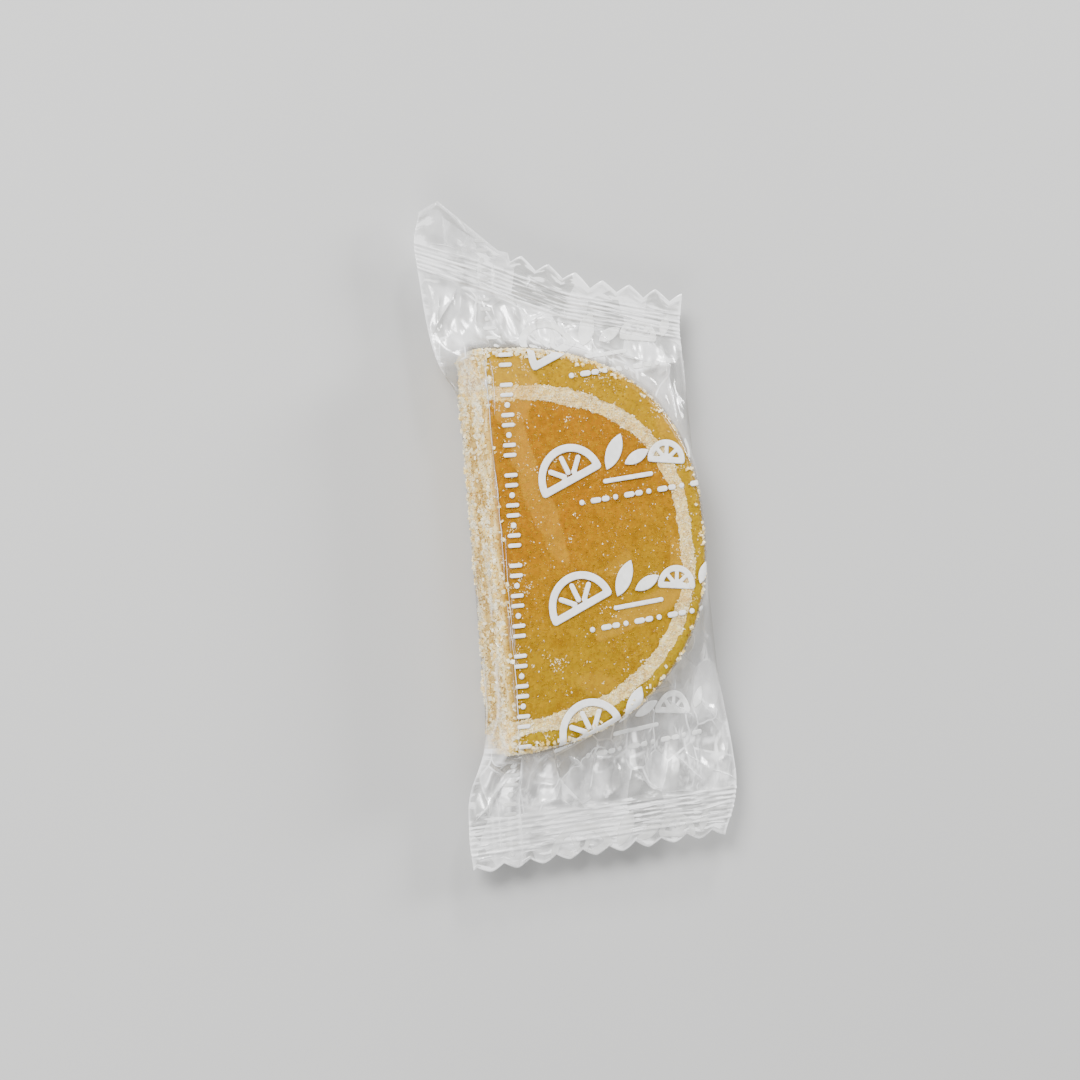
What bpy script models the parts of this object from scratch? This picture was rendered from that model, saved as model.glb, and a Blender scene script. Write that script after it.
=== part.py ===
"""A jelly fruit slice sealed in a clear flow-wrap film, lying flat.

The slice is a D-shaped slab: its cut side faces -X and its length runs along Y.
The film hugs it and runs out past both ends to a crimped seal with a zigzag edge.
The film is sealed on all sides, so slice, air and film are one closed solid.
The origin is under the middle of the solid, on the surface that it lies on.
"""

import bmesh
import bpy
import numpy as np

MM = 0.001

# The slab of jelly, rind included
SLICE_DEPTH = 29.0 * MM
SLICE_HALF_LENGTH = 25.3 * MM
SLICE_THICKNESS = 10.0 * MM
SLICE_EDGE_RADIUS = 1.2 * MM
ROUNDNESS_LOW_END = 2.2
ROUNDNESS_HIGH_END = 2.5
ROUNDNESS_CHANGE = 6.0 * MM

# Heights of the side folds beside the slice and of the end seals
FOLD_HEIGHT = 5.0 * MM
SEAL_HEIGHT = 3.6 * MM
SEAL_DROP_START = 18.0 * MM
SEAL_DROP_END = 32.0 * MM
SEAL_THICKNESS = 0.5 * MM

# The film's side folds, as distance along the slice and place across it, in mm
LEFT_FOLD = (
    (-40.0, -4.2), (-36.0, -4.5), (-30.4, -4.1), (-25.8, -2.0), (-20.0, -0.5), (15.0, -0.5),
    (19.4, -1.1), (22.7, -3.3), (26.0, -4.2), (33.0, -4.9), (39.7, -5.5), (43.3, -4.2),
)
RIGHT_FOLD = (
    (-39.0, 30.5), (-36.0, 32.2), (-32.0, 33.2), (-27.0, 32.6), (-18.5, 31.0), (-8.0, 30.7),
    (0.0, 30.3), (17.5, 29.8), (27.0, 29.9), (31.4, 31.0),
)

# Cross lines of the two seals, as share of the width and distance along the slice, in mm
LOW_EDGE = ((0.0, -40.1), (1.0, -39.0))
LOW_RIBS_OUTER = ((0.0, -38.1), (1.0, -37.0))
LOW_RIBS_INNER = ((0.0, -33.5), (1.0, -32.8))
HIGH_RIBS_INNER = ((0.0, 36.0), (0.23, 33.2), (0.56, 28.8), (1.0, 25.3))
HIGH_RIBS_OUTER = ((0.0, 39.6), (0.23, 37.0), (0.56, 32.3), (1.0, 28.9))
HIGH_EDGE = ((0.0, 43.3), (0.075, 44.6), (0.29, 38.0), (0.38, 37.2), (0.68, 33.7), (1.0, 31.4))

# Teeth of the zigzag cut: the last tooth's tip is the right-hand corner
TEETH_ACROSS = 9.643
LOW_TOOTH_DEPTH = 1.1 * MM
HIGH_TOOTH_DEPTH = 1.6 * MM
HIGH_TEETH_FROM = 0.33

# Crimp ribs along each seal
RIBS = 7
RIB_HEIGHT = 0.22 * MM

# Fall of the film from the slab's rim to its folds: rounded where it is tight, and clinging
# to the rim before it runs out flat where it is slack
TIGHT_ROOM = 2.0 * MM
ROOM_TO_SLACKEN = 2.0 * MM
TIGHT_BULGE = 1.2
SLACK_BULGE = 0.52
LEAST_GAP = 0.0001 * MM

# Uneven pleats gathered from each seal towards the slice
PLEATS_ACROSS = 6.5
PLEAT_SWAY = 1.3
PLEAT_HEIGHT = 0.35 * MM
PLEATS_FROM = 22.0 * MM
PLEATS_FULL_AT = 30.0 * MM
PLEAT_CLEAR_OF_SEAL = 2.0 * MM

# Fin seal of the film's back, folded flat under the left side
FIN_LEFT = -1.0 * MM
FIN_RIGHT = 3.5 * MM
FIN_THICKNESS = 0.35 * MM
FIN_LEAVES_FLOOR = 0.3 * MM
FIN_FULL_HEIGHT = 1.2 * MM

# How finely each stretch of the film is divided
COLUMNS_PER_TOOTH = 4
EDGE_COLUMNS = (0.006, 0.016)
FLAP_ROWS = 9
RIM_ROWS = 3
FACE_ROWS = 22
MARGIN_ROWS = 2
RIM_ROWS_LEAST_REACH = 9.0 * MM


def smooth_step(value, start, end):
    share = np.clip((value - start) / (end - start), 0.0, 1.0)
    return share * share * (3.0 - 2.0 * share)


def along(points, place):
    """The value at a place on a line drawn through a few points, given in mm."""
    places, values = np.array(points).T
    return np.interp(place, places, values)


def fold(points, distance):
    """How far across a side fold lies, in metres, at a distance along the slice."""
    reach = np.linspace(-1.5, 1.5, 7)
    near = [along(points, distance / MM + step) for step in reach]
    return np.mean(near, axis=0) * MM


def slice_distance(x, y):
    """Distance outside the slab's outline, negative inside it."""
    mid = 0.5 * (ROUNDNESS_LOW_END + ROUNDNESS_HIGH_END)
    swing = 0.5 * (ROUNDNESS_HIGH_END - ROUNDNESS_LOW_END)
    power = mid + swing * np.tanh(y / ROUNDNESS_CHANGE)
    across = np.maximum(x, 0.0) / SLICE_DEPTH
    lengthwise = np.abs(y) / SLICE_HALF_LENGTH
    ratio = np.maximum((across ** power + lengthwise ** power) ** (1.0 / power), 1e-3)
    rind = np.hypot(np.maximum(x, 0.0), y) * (1.0 - 1.0 / ratio)
    outside = np.hypot(np.maximum(-x, 0.0), np.maximum(rind, 0.0))
    return outside + np.minimum(np.maximum(-x, rind), 0.0)


def tooth_wave(width_share, start=0.0):
    """Zigzag between 0 in a notch and 1 at a tip."""
    phase = (1.0 - width_share) * TEETH_ACROSS
    wave = np.abs(2.0 * (phase - np.floor(phase)) - 1.0)
    return np.where(width_share < start, 1.0, wave)


def column_places():
    """Shares of the width, with a column at every tip and notch."""
    step = 1.0 / (TEETH_ACROSS * COLUMNS_PER_TOOTH)
    inner = 1.0 - step * np.arange(1, int(TEETH_ACROSS * COLUMNS_PER_TOOTH) + 1)
    ends = np.array(EDGE_COLUMNS)
    return np.unique(np.concatenate([[0.0, 1.0], inner[inner > ends.max()], ends, 1.0 - ends]))


def rim_line(columns, end):
    """Distance along the slice at which each column crosses the slab's rim, at one end."""
    power = ROUNDNESS_HIGH_END if end > 0.0 else ROUNDNESS_LOW_END
    reach = np.full_like(columns, SLICE_HALF_LENGTH)
    for _ in range(8):
        left, right = fold(LEFT_FOLD, end * reach), fold(RIGHT_FOLD, end * reach)
        across = np.clip((left + (right - left) * columns) / SLICE_DEPTH, 0.0, 1.0)
        reach = SLICE_HALF_LENGTH * (1.0 - across ** power) ** (1.0 / power)
        reach = np.maximum(reach, RIM_ROWS_LEAST_REACH)
    return end * reach


def row_lines(columns):
    """The film's cross lines: each as distances along the slice and a rib height."""
    low_edge = along(LOW_EDGE, columns) * MM
    low_edge += LOW_TOOTH_DEPTH * (1.0 - tooth_wave(columns))
    high_edge = along(HIGH_EDGE, columns) * MM
    high_edge -= HIGH_TOOTH_DEPTH * (1.0 - tooth_wave(columns, HIGH_TEETH_FROM))
    low_outer = along(LOW_RIBS_OUTER, columns) * MM
    low_inner = along(LOW_RIBS_INNER, columns) * MM
    high_inner = along(HIGH_RIBS_INNER, columns) * MM
    high_outer = along(HIGH_RIBS_OUTER, columns) * MM
    rib_steps = np.arange(2 * RIBS) / (2 * RIBS)
    flap_steps = np.arange(FLAP_ROWS) / FLAP_ROWS
    rim_steps = np.arange(RIM_ROWS) / RIM_ROWS
    face_steps = np.arange(FACE_ROWS) / FACE_ROWS
    margin_steps = np.arange(MARGIN_ROWS) / MARGIN_ROWS
    low_rim = rim_line(columns, -1.0)
    high_rim = rim_line(columns, 1.0)
    low_face = low_rim + SLICE_EDGE_RADIUS
    high_face = high_rim - SLICE_EDGE_RADIUS
    stretches = (
        (low_edge, low_outer, margin_steps, 0.0),
        (low_outer, low_inner, rib_steps, RIB_HEIGHT),
        (low_inner, low_rim, 1.0 - (1.0 - flap_steps) ** 2, 0.0),
        (low_rim, low_face, rim_steps, 0.0),
        (low_face, high_face, face_steps, 0.0),
        (high_face, high_rim, rim_steps, 0.0),
        (high_rim, high_inner, flap_steps ** 2, 0.0),
        (high_inner, high_outer, rib_steps, RIB_HEIGHT),
        (high_outer, high_edge, margin_steps, 0.0),
    )
    lines, ribs = [], []
    for start, end, steps, rib in stretches:
        for number, step in enumerate(steps):
            lines.append(start + (end - start) * step)
            ribs.append(rib * (number % 2))
    lines.append(high_edge)
    ribs.append(0.0)
    return np.array(lines), np.array(ribs)[:, None], low_inner, high_inner


def film_grids():
    """Top and bottom of the filled film, as two grids of points."""
    columns = column_places()
    y, ribs, low_inner, high_inner = row_lines(columns)
    left = fold(LEFT_FOLD, y[:, :1])
    right = fold(RIGHT_FOLD, y[:, -1:])
    x = left + (right - left) * columns

    clear = slice_distance(x, y) + SLICE_EDGE_RADIUS
    gaps = np.stack([x - left, right - x, y - low_inner, high_inner - y])
    gaps = np.maximum(gaps, LEAST_GAP)
    to_fold = np.sum(gaps ** -4.0, axis=0) ** -0.25
    room = np.maximum(clear, 0.0) + to_fold
    share = np.clip(clear / room, 0.0, 1.0)
    rounded = np.clip(clear, 0.0, SLICE_EDGE_RADIUS)
    edge_drop = SLICE_EDGE_RADIUS - np.sqrt(SLICE_EDGE_RADIUS ** 2 - rounded ** 2)
    beyond = np.maximum(clear - SLICE_EDGE_RADIUS, 0.0) / np.maximum(room - SLICE_EDGE_RADIUS, LEAST_GAP)
    slack = np.maximum(room - TIGHT_ROOM, 0.0)
    bulge = SLACK_BULGE + TIGHT_BULGE * np.exp(-slack / ROOM_TO_SLACKEN)
    fall = (1.0 - np.clip(beyond, 0.0, 1.0) ** bulge) ** (1.0 / bulge)

    drop = smooth_step(np.abs(y), SEAL_DROP_START, SEAL_DROP_END)
    middle = FOLD_HEIGHT + (SEAL_HEIGHT - FOLD_HEIGHT) * drop
    free = smooth_step(share, 0.05, 0.5) * smooth_step(to_fold, 0.0, PLEAT_CLEAR_OF_SEAL)
    end_flap = smooth_step(np.abs(y), PLEATS_FROM, PLEATS_FULL_AT)
    turns = 2.0 * np.pi * columns
    pleats = np.sin(PLEATS_ACROSS * turns + PLEAT_SWAY * np.sin(2.0 * turns + np.sign(y)))
    pleats *= PLEAT_HEIGHT * free * end_flap
    half = 0.5 * SEAL_THICKNESS
    top = middle + half + (SLICE_THICKNESS - edge_drop - middle - half) * fall + pleats + ribs
    bottom = middle - half - (middle - half - edge_drop) * fall + 0.5 * pleats + ribs

    on_fin = (x > FIN_LEFT) & (x < FIN_RIGHT)
    bottom -= FIN_THICKNESS * on_fin * smooth_step(bottom, FIN_LEAVES_FLOOR, FIN_FULL_HEIGHT)
    bottom = np.where(clear < 0.0, 0.0, np.maximum(bottom, 0.0))
    return np.stack([x, y, top], axis=-1), np.stack([x, y, bottom], axis=-1)


def solid_mesh(name):
    top, bottom = film_grids()
    rows, columns = top.shape[:2]
    points = np.concatenate([top.reshape(-1, 3), bottom.reshape(-1, 3)])
    middle = 0.5 * (points.min(axis=0) + points.max(axis=0))
    points -= (middle[0], middle[1], points[:, 2].min())

    number = np.arange(rows * columns).reshape(rows, columns)
    under = number + rows * columns
    faces = []
    for row in range(rows - 1):
        for column in range(columns - 1):
            quad = (
                (row, column), (row, column + 1), (row + 1, column + 1), (row + 1, column),
            )
            faces.append([number[place] for place in quad])
            faces.append([under[place] for place in reversed(quad)])
    rim = np.concatenate([number[0, :-1], number[:-1, -1], number[-1, :0:-1], number[:0:-1, 0]])
    for here, after in zip(rim, np.roll(rim, -1)):
        faces.append([after, here, here + rows * columns, after + rows * columns])

    mesh = bpy.data.meshes.new(name)
    mesh.from_pydata(points.tolist(), [], [[int(corner) for corner in face] for face in faces])
    shape = bmesh.new()
    shape.from_mesh(mesh)
    bmesh.ops.triangulate(shape, faces=shape.faces[:], quad_method="SHORT_EDGE")
    bmesh.ops.recalc_face_normals(shape, faces=shape.faces[:])
    shape.to_mesh(mesh)
    shape.free()
    return mesh


def film_material():
    material = bpy.data.materials.new("clear_film_over_yellow_jelly")
    material.use_nodes = True
    shader = material.node_tree.nodes["Principled BSDF"]
    shader.inputs["Base Color"].default_value = (0.60, 0.33, 0.02, 1.0)
    shader.inputs["Roughness"].default_value = 0.25
    shader.inputs["Metallic"].default_value = 0.0
    return material


def build():
    for old in list(bpy.data.objects):
        bpy.data.objects.remove(old, do_unlink=True)
    mesh = solid_mesh("wrapped_slice")
    mesh.materials.append(film_material())
    mesh.shade_smooth()
    mesh.set_sharp_from_angle(angle=np.radians(40.0))
    wrapped_slice = bpy.data.objects.new("wrapped_slice", mesh)
    bpy.context.scene.collection.objects.link(wrapped_slice)


build()
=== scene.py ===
from math import cos, pi, radians, sin, tau

import bmesh
import bpy
import numpy as np
from mathutils import Matrix, Vector
from mathutils.bvhtree import BVHTree


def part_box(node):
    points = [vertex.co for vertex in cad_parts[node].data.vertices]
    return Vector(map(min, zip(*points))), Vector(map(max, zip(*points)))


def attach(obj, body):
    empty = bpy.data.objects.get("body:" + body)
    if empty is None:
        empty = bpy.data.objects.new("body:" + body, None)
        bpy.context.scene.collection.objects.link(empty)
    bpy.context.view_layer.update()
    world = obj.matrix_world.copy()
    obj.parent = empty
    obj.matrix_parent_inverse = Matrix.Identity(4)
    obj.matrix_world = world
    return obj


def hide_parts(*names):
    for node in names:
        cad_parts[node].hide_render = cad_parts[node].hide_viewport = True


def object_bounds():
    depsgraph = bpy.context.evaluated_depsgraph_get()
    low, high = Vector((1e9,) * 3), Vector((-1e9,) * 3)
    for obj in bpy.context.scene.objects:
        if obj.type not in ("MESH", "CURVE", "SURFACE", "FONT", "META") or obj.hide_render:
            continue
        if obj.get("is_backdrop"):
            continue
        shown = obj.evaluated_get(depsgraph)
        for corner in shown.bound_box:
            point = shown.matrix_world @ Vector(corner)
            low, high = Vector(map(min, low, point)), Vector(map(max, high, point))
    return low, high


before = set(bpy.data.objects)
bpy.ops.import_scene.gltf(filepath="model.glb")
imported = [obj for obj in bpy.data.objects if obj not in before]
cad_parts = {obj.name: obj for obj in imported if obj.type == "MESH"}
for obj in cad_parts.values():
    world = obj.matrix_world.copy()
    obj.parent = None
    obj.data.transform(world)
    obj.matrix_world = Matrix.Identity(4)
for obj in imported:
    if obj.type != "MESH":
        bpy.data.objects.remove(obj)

# The pack lies flat. Shapes are worked out in the slab's own frame, in metres:
# x runs from the cut side into the slab, y along the cut side, z up from the floor.
MM = 0.001
NODE = "wrapped_slice"
cad_low, cad_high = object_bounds()
box_low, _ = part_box(NODE)
CUT_SIDE_INSET = 5.375 * MM
MIDDLE_INSET = 40.027 * MM
PLACE = np.array([box_low[0] + CUT_SIDE_INSET, box_low[1] + MIDDLE_INSET, box_low[2]])

# The slab of jelly
SLAB_DEPTH = 29.0 * MM
SLAB_HALF_LENGTH = 25.3 * MM
ROUNDNESS_LOW_END = 2.2
ROUNDNESS_HIGH_END = 2.5
ROUNDNESS_CHANGE = 6.0 * MM
SLAB_INSET = 0.18 * MM
SLAB_TOP = 9.77 * MM
SLAB_BOTTOM = 0.30 * MM
SLAB_EDGE = 1.25 * MM
PITH_MIDDLE = -1.15 * MM
PITH_HALF_LENGTH = 21.75 * MM
PITH_DEPTH = 26.7 * MM
FLESH_MIDDLE = -1.2 * MM
FLESH_HALF_LENGTH = 19.95 * MM
FLESH_DEPTH = 24.9 * MM

# The film's folds, seals and teeth, as in the solid
FILM_TOP = 10.0 * MM
FILM_EDGE = 1.2 * MM
FOLD_HEIGHT = 5.0 * MM
SEAL_HEIGHT = 3.6 * MM
SEAL_DROP = (18.0 * MM, 32.0 * MM)
SEAL_THICKNESS = 0.12 * MM
LEFT_FOLD = (
    (-40.0, -4.2), (-36.0, -4.5), (-30.4, -4.1), (-25.8, -2.0), (-20.0, -0.5), (15.0, -0.5),
    (19.4, -1.1), (22.7, -3.3), (26.0, -4.2), (33.0, -4.9), (39.7, -5.5), (43.3, -4.2),
)
RIGHT_FOLD = (
    (-39.0, 30.5), (-36.0, 32.2), (-32.0, 33.2), (-27.0, 32.6), (-18.5, 31.0), (-8.0, 30.7),
    (0.0, 30.3), (17.5, 29.8), (27.0, 29.9), (31.4, 31.0),
)
LOW_EDGE = ((0.0, -40.1), (1.0, -39.0))
LOW_RIBS_OUTER = ((0.0, -38.1), (1.0, -37.0))
LOW_RIBS_INNER = ((0.0, -33.5), (1.0, -32.8))
HIGH_RIBS_INNER = ((0.0, 36.0), (0.23, 33.2), (0.56, 28.8), (1.0, 25.3))
HIGH_RIBS_OUTER = ((0.0, 39.6), (0.23, 37.0), (0.56, 32.3), (1.0, 28.9))
HIGH_EDGE = ((0.0, 43.3), (0.075, 44.6), (0.29, 38.0), (0.38, 37.2), (0.68, 33.7), (1.0, 31.4))
TEETH_ACROSS = 9.643
LOW_TOOTH_DEPTH = 1.1 * MM
HIGH_TOOTH_DEPTH = 1.6 * MM
HIGH_TEETH_FROM = 0.33
RIBS = 7
RIB_HEIGHT = 0.22 * MM
RIB_STRENGTHS = (1.0, 0.45, 0.8, 0.35, 1.0, 0.55, 0.85)
TIGHT_ROOM = 2.0 * MM
ROOM_TO_SLACKEN = 2.0 * MM
TIGHT_BULGE = 1.2
SLACK_BULGE = 0.52
PLEATS_ACROSS = 6.5
PLEAT_SWAY = 1.3
PLEAT_HEIGHT = 0.45 * MM
FIN_LEFT = -1.2 * MM
FIN_RIGHT = 3.0 * MM
FIN_SHIFT_UNDER_SLAB = 2.2 * MM

# What every point of the film carries for its material. The milkiness also holds painted light and
# shade on the film's facets, the gleam is painted highlights, and the haze also holds painted
# reflections and a painted glow.
FILM_AMOUNTS = ("milky", "gleam", "haze_and_painted_light", "seal", "across")

# How finely the film is divided
COLUMNS_PER_TOOTH = 15
EDGE_COLUMNS = (0.0008, 0.002, 0.004)
ROWS_PER_RIB = 6
FLAP_ROWS = 46
RIM_ROWS = 8
FACE_ROWS = 92
MARGIN_ROWS = 8
RIM_ROWS_LEAST_REACH = 9.0 * MM

# Folds that show in the film: start, end, height and width in mm, and how brightly they shine
TOP_FOLDS = (
    (27.0, 25.0, 27.6, 14.5, 0.55, 0.7, 0.5),
    (29.2, -9.0, 29.0, -16.5, 0.40, 0.5, 0.3),
    (8.9, -26.4, 11.7, -28.5, 0.50, 0.5, 1.0),
    (23.3, -27.1, 28.3, -31.8, 0.70, 0.8, 1.0),
    (25.1, -27.5, 29.0, -30.3, 0.40, 0.5, 0.6),
    (28.3, -31.8, 32.7, -26.6, 0.60, 0.5, 0.8),
    (29.5, -30.4, 33.0, -32.1, 0.40, 0.9, 1.0),
    (29.7, -28.1, 33.0, -29.4, 0.35, 0.7, 0.9),
    (4.3, -32.5, 8.0, -31.8, 0.40, 0.6, 1.0),
    (4.6, -29.4, 7.6, -29.9, 0.45, 0.5, 0.9),
    (7.9, -29.9, 7.4, -31.8, 0.35, 0.4, 0.9),
    (8.2, -31.9, 9.9, -33.1, 0.35, 0.4, 0.8),
    (12.1, -25.8, 12.9, -29.8, 0.30, 0.35, 0.45),
    (19.7, -27.1, 20.7, -30.7, 0.30, 0.35, 0.45),
    (-3.6, -33.6, -0.1, -29.8, 0.45, 0.6, 0.9),
    (-3.4, -27.3, -3.5, -33.1, 0.30, 0.4, 0.7),
    (18.5, -29.8, 19.9, -30.8, 0.30, 0.5, 0.8),
    (20.4, -31.1, 22.4, -32.2, 0.35, 0.5, 0.9),
    (12.2, -27.0, 15.6, -27.2, 0.30, 0.5, 0.8),
    (11.0, -32.8, 12.6, -32.2, 0.25, 0.4, 0.8),
    (14.2, -31.1, 15.2, -31.9, 0.25, 0.5, 0.8),
    (16.0, -28.6, 18.2, -31.6, 0.30, 0.6, 0.3),
    (22.4, -32.6, 27.0, -32.9, 0.25, 0.4, 0.6),
    (-1.5, -26.2, 2.6, -26.6, 0.40, 0.5, 0.7),
    (-4.6, 42.3, 1.1, 38.9, 0.10, 0.25, 0.5),
    (-3.2, 39.2, 0.0, 38.5, 0.20, 0.5, 0.9),
    (-5.5, 34.0, -7.2, 31.0, 0.30, 0.6, 0.7),
    (7.6, 31.9, 8.7, 28.4, 0.45, 0.5, 1.0),
    (8.7, 28.4, 13.5, 30.7, 0.45, 0.5, 1.0),
    (9.8, 29.4, 28.4, 25.2, 0.25, 0.4, 0.7),
    (6.3, 30.9, 7.0, 26.7, 0.35, 0.4, 0.7),
    (-0.2, 33.5, -3.8, 28.6, 0.45, 0.5, 0.8),
    (-2.6, 32.6, -4.2, 27.4, 0.30, 0.4, 0.6),
    (2.4, 32.8, 4.6, 27.2, 0.35, 0.4, 0.6),
    (13.2, 27.4, 15.8, 27.7, 0.30, 0.6, 0.8),
    (12.3, 25.8, 16.1, 24.5, 0.30, 0.5, 0.7),
    (18.3, 26.5, 19.8, 26.0, 0.25, 0.5, 0.8),
    (17.8, 25.2, 24.6, 22.8, 0.40, 0.5, 0.6),
    (22.6, 21.4, 28.6, 22.8, 0.35, 0.6, 0.4),
    (26.4, -14.6, 30.0, -20.6, 0.40, 0.7, 0.3),
    (22.4, -20.2, 28.0, -24.0, 0.35, 0.6, 0.5),
    (27.6, -20.8, 31.4, -24.6, 0.30, 0.5, 0.6),
)

# Bright lines through the crimped seals and along the slab's edges: ends, width, brightness
BRIGHT_LINES = (
    (-1.0, -27.0, -1.3, -40.0, 0.24, 0.8), (1.2, -27.0, 1.0, -40.2, 0.24, 0.8),
    (2.5, -26.0, 2.5, -39.4, 0.20, 0.7), (-0.2, -30.0, -0.3, -38.0, 0.20, 0.7),
    (-3.2, -34.9, -1.5, -35.1, 0.34, 0.9), (-3.5, -36.7, -1.6, -36.4, 0.34, 0.9),
    (-3.6, -38.3, -1.5, -38.1, 0.32, 0.9), (28.1, -37.2, 30.9, -37.4, 0.50, 1.0),
    (28.8, -33.4, 32.9, -33.6, 0.24, 1.0), (26.4, -35.4, 32.4, -34.6, 0.22, 1.0),
    (25.8, -36.6, 31.6, -36.0, 0.16, 0.9), (14.6, -37.9, 16.6, -39.4, 0.34, 0.9),
    (19.5, -38.2, 20.5, -39.3, 0.40, 0.9), (16.6, -33.7, 17.3, -34.2, 0.36, 0.9),
    (4.0, -35.6, 9.6, -35.4, 0.22, 0.9), (12.0, -34.2, 24.0, -33.7, 0.16, 0.9),
    (9.0, -36.6, 19.0, -36.4, 0.16, 0.9), (17.0, -36.9, 20.2, -36.8, 0.26, 1.0),
    (-5.6, 39.0, 2.5, 34.9, 0.22, 0.9), (-5.4, 38.0, 1.2, 34.8, 0.30, 0.9),
    (-5.3, 37.2, 0.6, 34.2, 0.22, 0.9), (0.0, 35.4, 7.8, 31.2, 0.22, 0.9),
    (11.6, 33.1, 28.7, 27.9, 0.20, 0.9), (20.1, 29.8, 28.7, 27.2, 0.26, 0.9),
    (10.0, 34.8, 9.3, 33.2, 0.30, 0.9), (3.4, 37.6, 2.8, 33.6, 0.20, 0.8),
    (5.0, 36.4, 4.6, 32.6, 0.20, 0.8), (0.45, 25.4, 0.55, 12.0, 0.11, 0.50),
    (0.35, 21.6, 0.45, 20.4, 0.45, 0.9), (0.55, 12.5, 0.70, -4.0, 0.11, 0.46),
    (0.70, -6.0, 0.75, -25.0, 0.13, 0.50), (28.6, 10.0, 29.0, -8.0, 0.14, 0.35),
    (1.25, 2.0, 1.35, -14.0, 0.09, 0.46), (1.10, 24.0, 1.15, 17.0, 0.09, 0.46),
)
SMALL_FOLDS = 44
FOLD_SEED = 11
FACET_SIZE = 4.6 * MM
SMALL_FACET_SIZE = 2.0 * MM

# Light that runs along the film: down its cut side, and beside the rim of the slab
WALL_SHEEN = 0.12 * MM
WALL_SHEEN_WIDTH = 0.05 * MM
GLOW = 0.20
GLOW_WIDTH = 0.9 * MM

# How milky the film is where it lies close, hangs loose and is sealed, and how much painted light
# and shade the film's facets get as they lean towards or away from the light
MILKY_CLOSE = 0.02
MILKY_LOOSE = 0.49
MILKY_SEAL = 0.56
MILKY_HIGH_END = 0.40
CORNER_CLEARS = 0.44
# Painted shade through the middle of the seal's teeth
TOOTH_MIDDLE_SHADE = 0.24
STRETCHED_CLEARS = 0.85
LIT_SHARE = 0.80
LIT_RANGE = (-0.26, 0.42)
FILM_SHINE = 2.6

# Limits of the two sheets
TOP_SHEET_DROP = 0.04 * MM
TOP_SHEET_RISE = 0.15 * MM
BOTTOM_SHEET_LIFT = 0.12 * MM
SHEETS_APART = 0.06 * MM

# The fin seal's strip
FIN_COLUMNS = 19
FIN_GAP = 0.10 * MM
FIN_THICKNESS = 0.05 * MM

# Sharp creases: how wide and high the strips are that catch the light, and how they bend
CREASE_STEP = 0.35 * MM
CREASE_WIDEST = 0.26 * MM
CREASE_HEIGHT = 0.05 * MM
CREASE_BOW = 0.07
CREASE_BENDS_TO = 5.0 * MM
CREASE_WANDER = 0.07 * MM
CREASE_LEAST_BRIGHTNESS = 0.45

# Places over the jelly where the film stands off and looks hazy, with a painted reflection in them:
# middle, half sizes, turn, strength
HAZY_PLACES = (
    (6.2, 5.4, 1.7, 8.2, 20.0, 0.60),
    (19.8, -8.6, 7.6, 1.6, 22.0, 0.85),
    (3.4, 21.0, 3.4, 5.0, 8.0, 0.95),
    (4.2, 13.0, 1.4, 6.0, 14.0, 0.80),
    (25.0, 13.0, 1.8, 3.6, 24.0, 0.50),
    (16.4, -2.6, 2.4, 1.2, 40.0, 0.40),
    (11.6, -17.4, 3.4, 1.5, -14.0, 0.40),
    (24.6, -4.6, 1.4, 4.2, 4.0, 0.60),
)

# White print on the film
MOTIF_LEFT = 6.6
MOTIF_LOW = 6.1
MOTIF_PITCH = 16.0
MOTIF_RISE = radians(4.9)
MOTIFS = range(-2, 4)
PRINT_CELL = 0.13 * MM
PRINT_LIFT = 0.035 * MM
PRINT_THICKNESS = 0.02 * MM
PRINT_STEEPEST = 2.6
PRINT_FIELD = ((-6.0 * MM, 34.0 * MM), (-41.0 * MM, 45.0 * MM))
BACK_PRINT_SHIFT = 7.0
COLUMN_PITCH = 1.25
COLUMN_SLOPE = 0.032
COLUMN_LEFT = 2.35

# Sugar lies on the cut side in two bands: middle and half width, up from the floor
SUGAR_BANDS = ((7.1 * MM, 1.75 * MM), (1.9 * MM, 1.35 * MM))

# Jellies: colour of the low end, of the high end, of pale and of deep mottling, patchiness,
# size of the grain, roughness
JELLIES = {
    "rind_jelly": (
        (0.365, 0.240, 0.0), (0.400, 0.218, 0.0), (0.52, 0.32, 0.001), (0.275, 0.152, 0.0),
        0.30, 0.7 * MM, 0.26),
    "pith_jelly": (
        (0.88, 0.68, 0.25), (0.95, 0.67, 0.22), (0.97, 0.86, 0.50), (0.64, 0.43, 0.12),
        0.60, 0.30 * MM, 0.5),
    "flesh_jelly": (
        (0.330, 0.190, 0.0), (0.355, 0.134, 0.0), (0.47, 0.25, 0.001), (0.22, 0.092, 0.0),
        0.30, 0.7 * MM, 0.24),
}
SMOOTH_RELIEF = ((2.6 * MM, 0.05 * MM), (0.8 * MM, 0.035 * MM), (0.35 * MM, 0.02 * MM))
ROUGH_RELIEF = ((1.6 * MM, 0.05 * MM), (0.5 * MM, 0.07 * MM), (0.28 * MM, 0.06 * MM))

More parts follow.
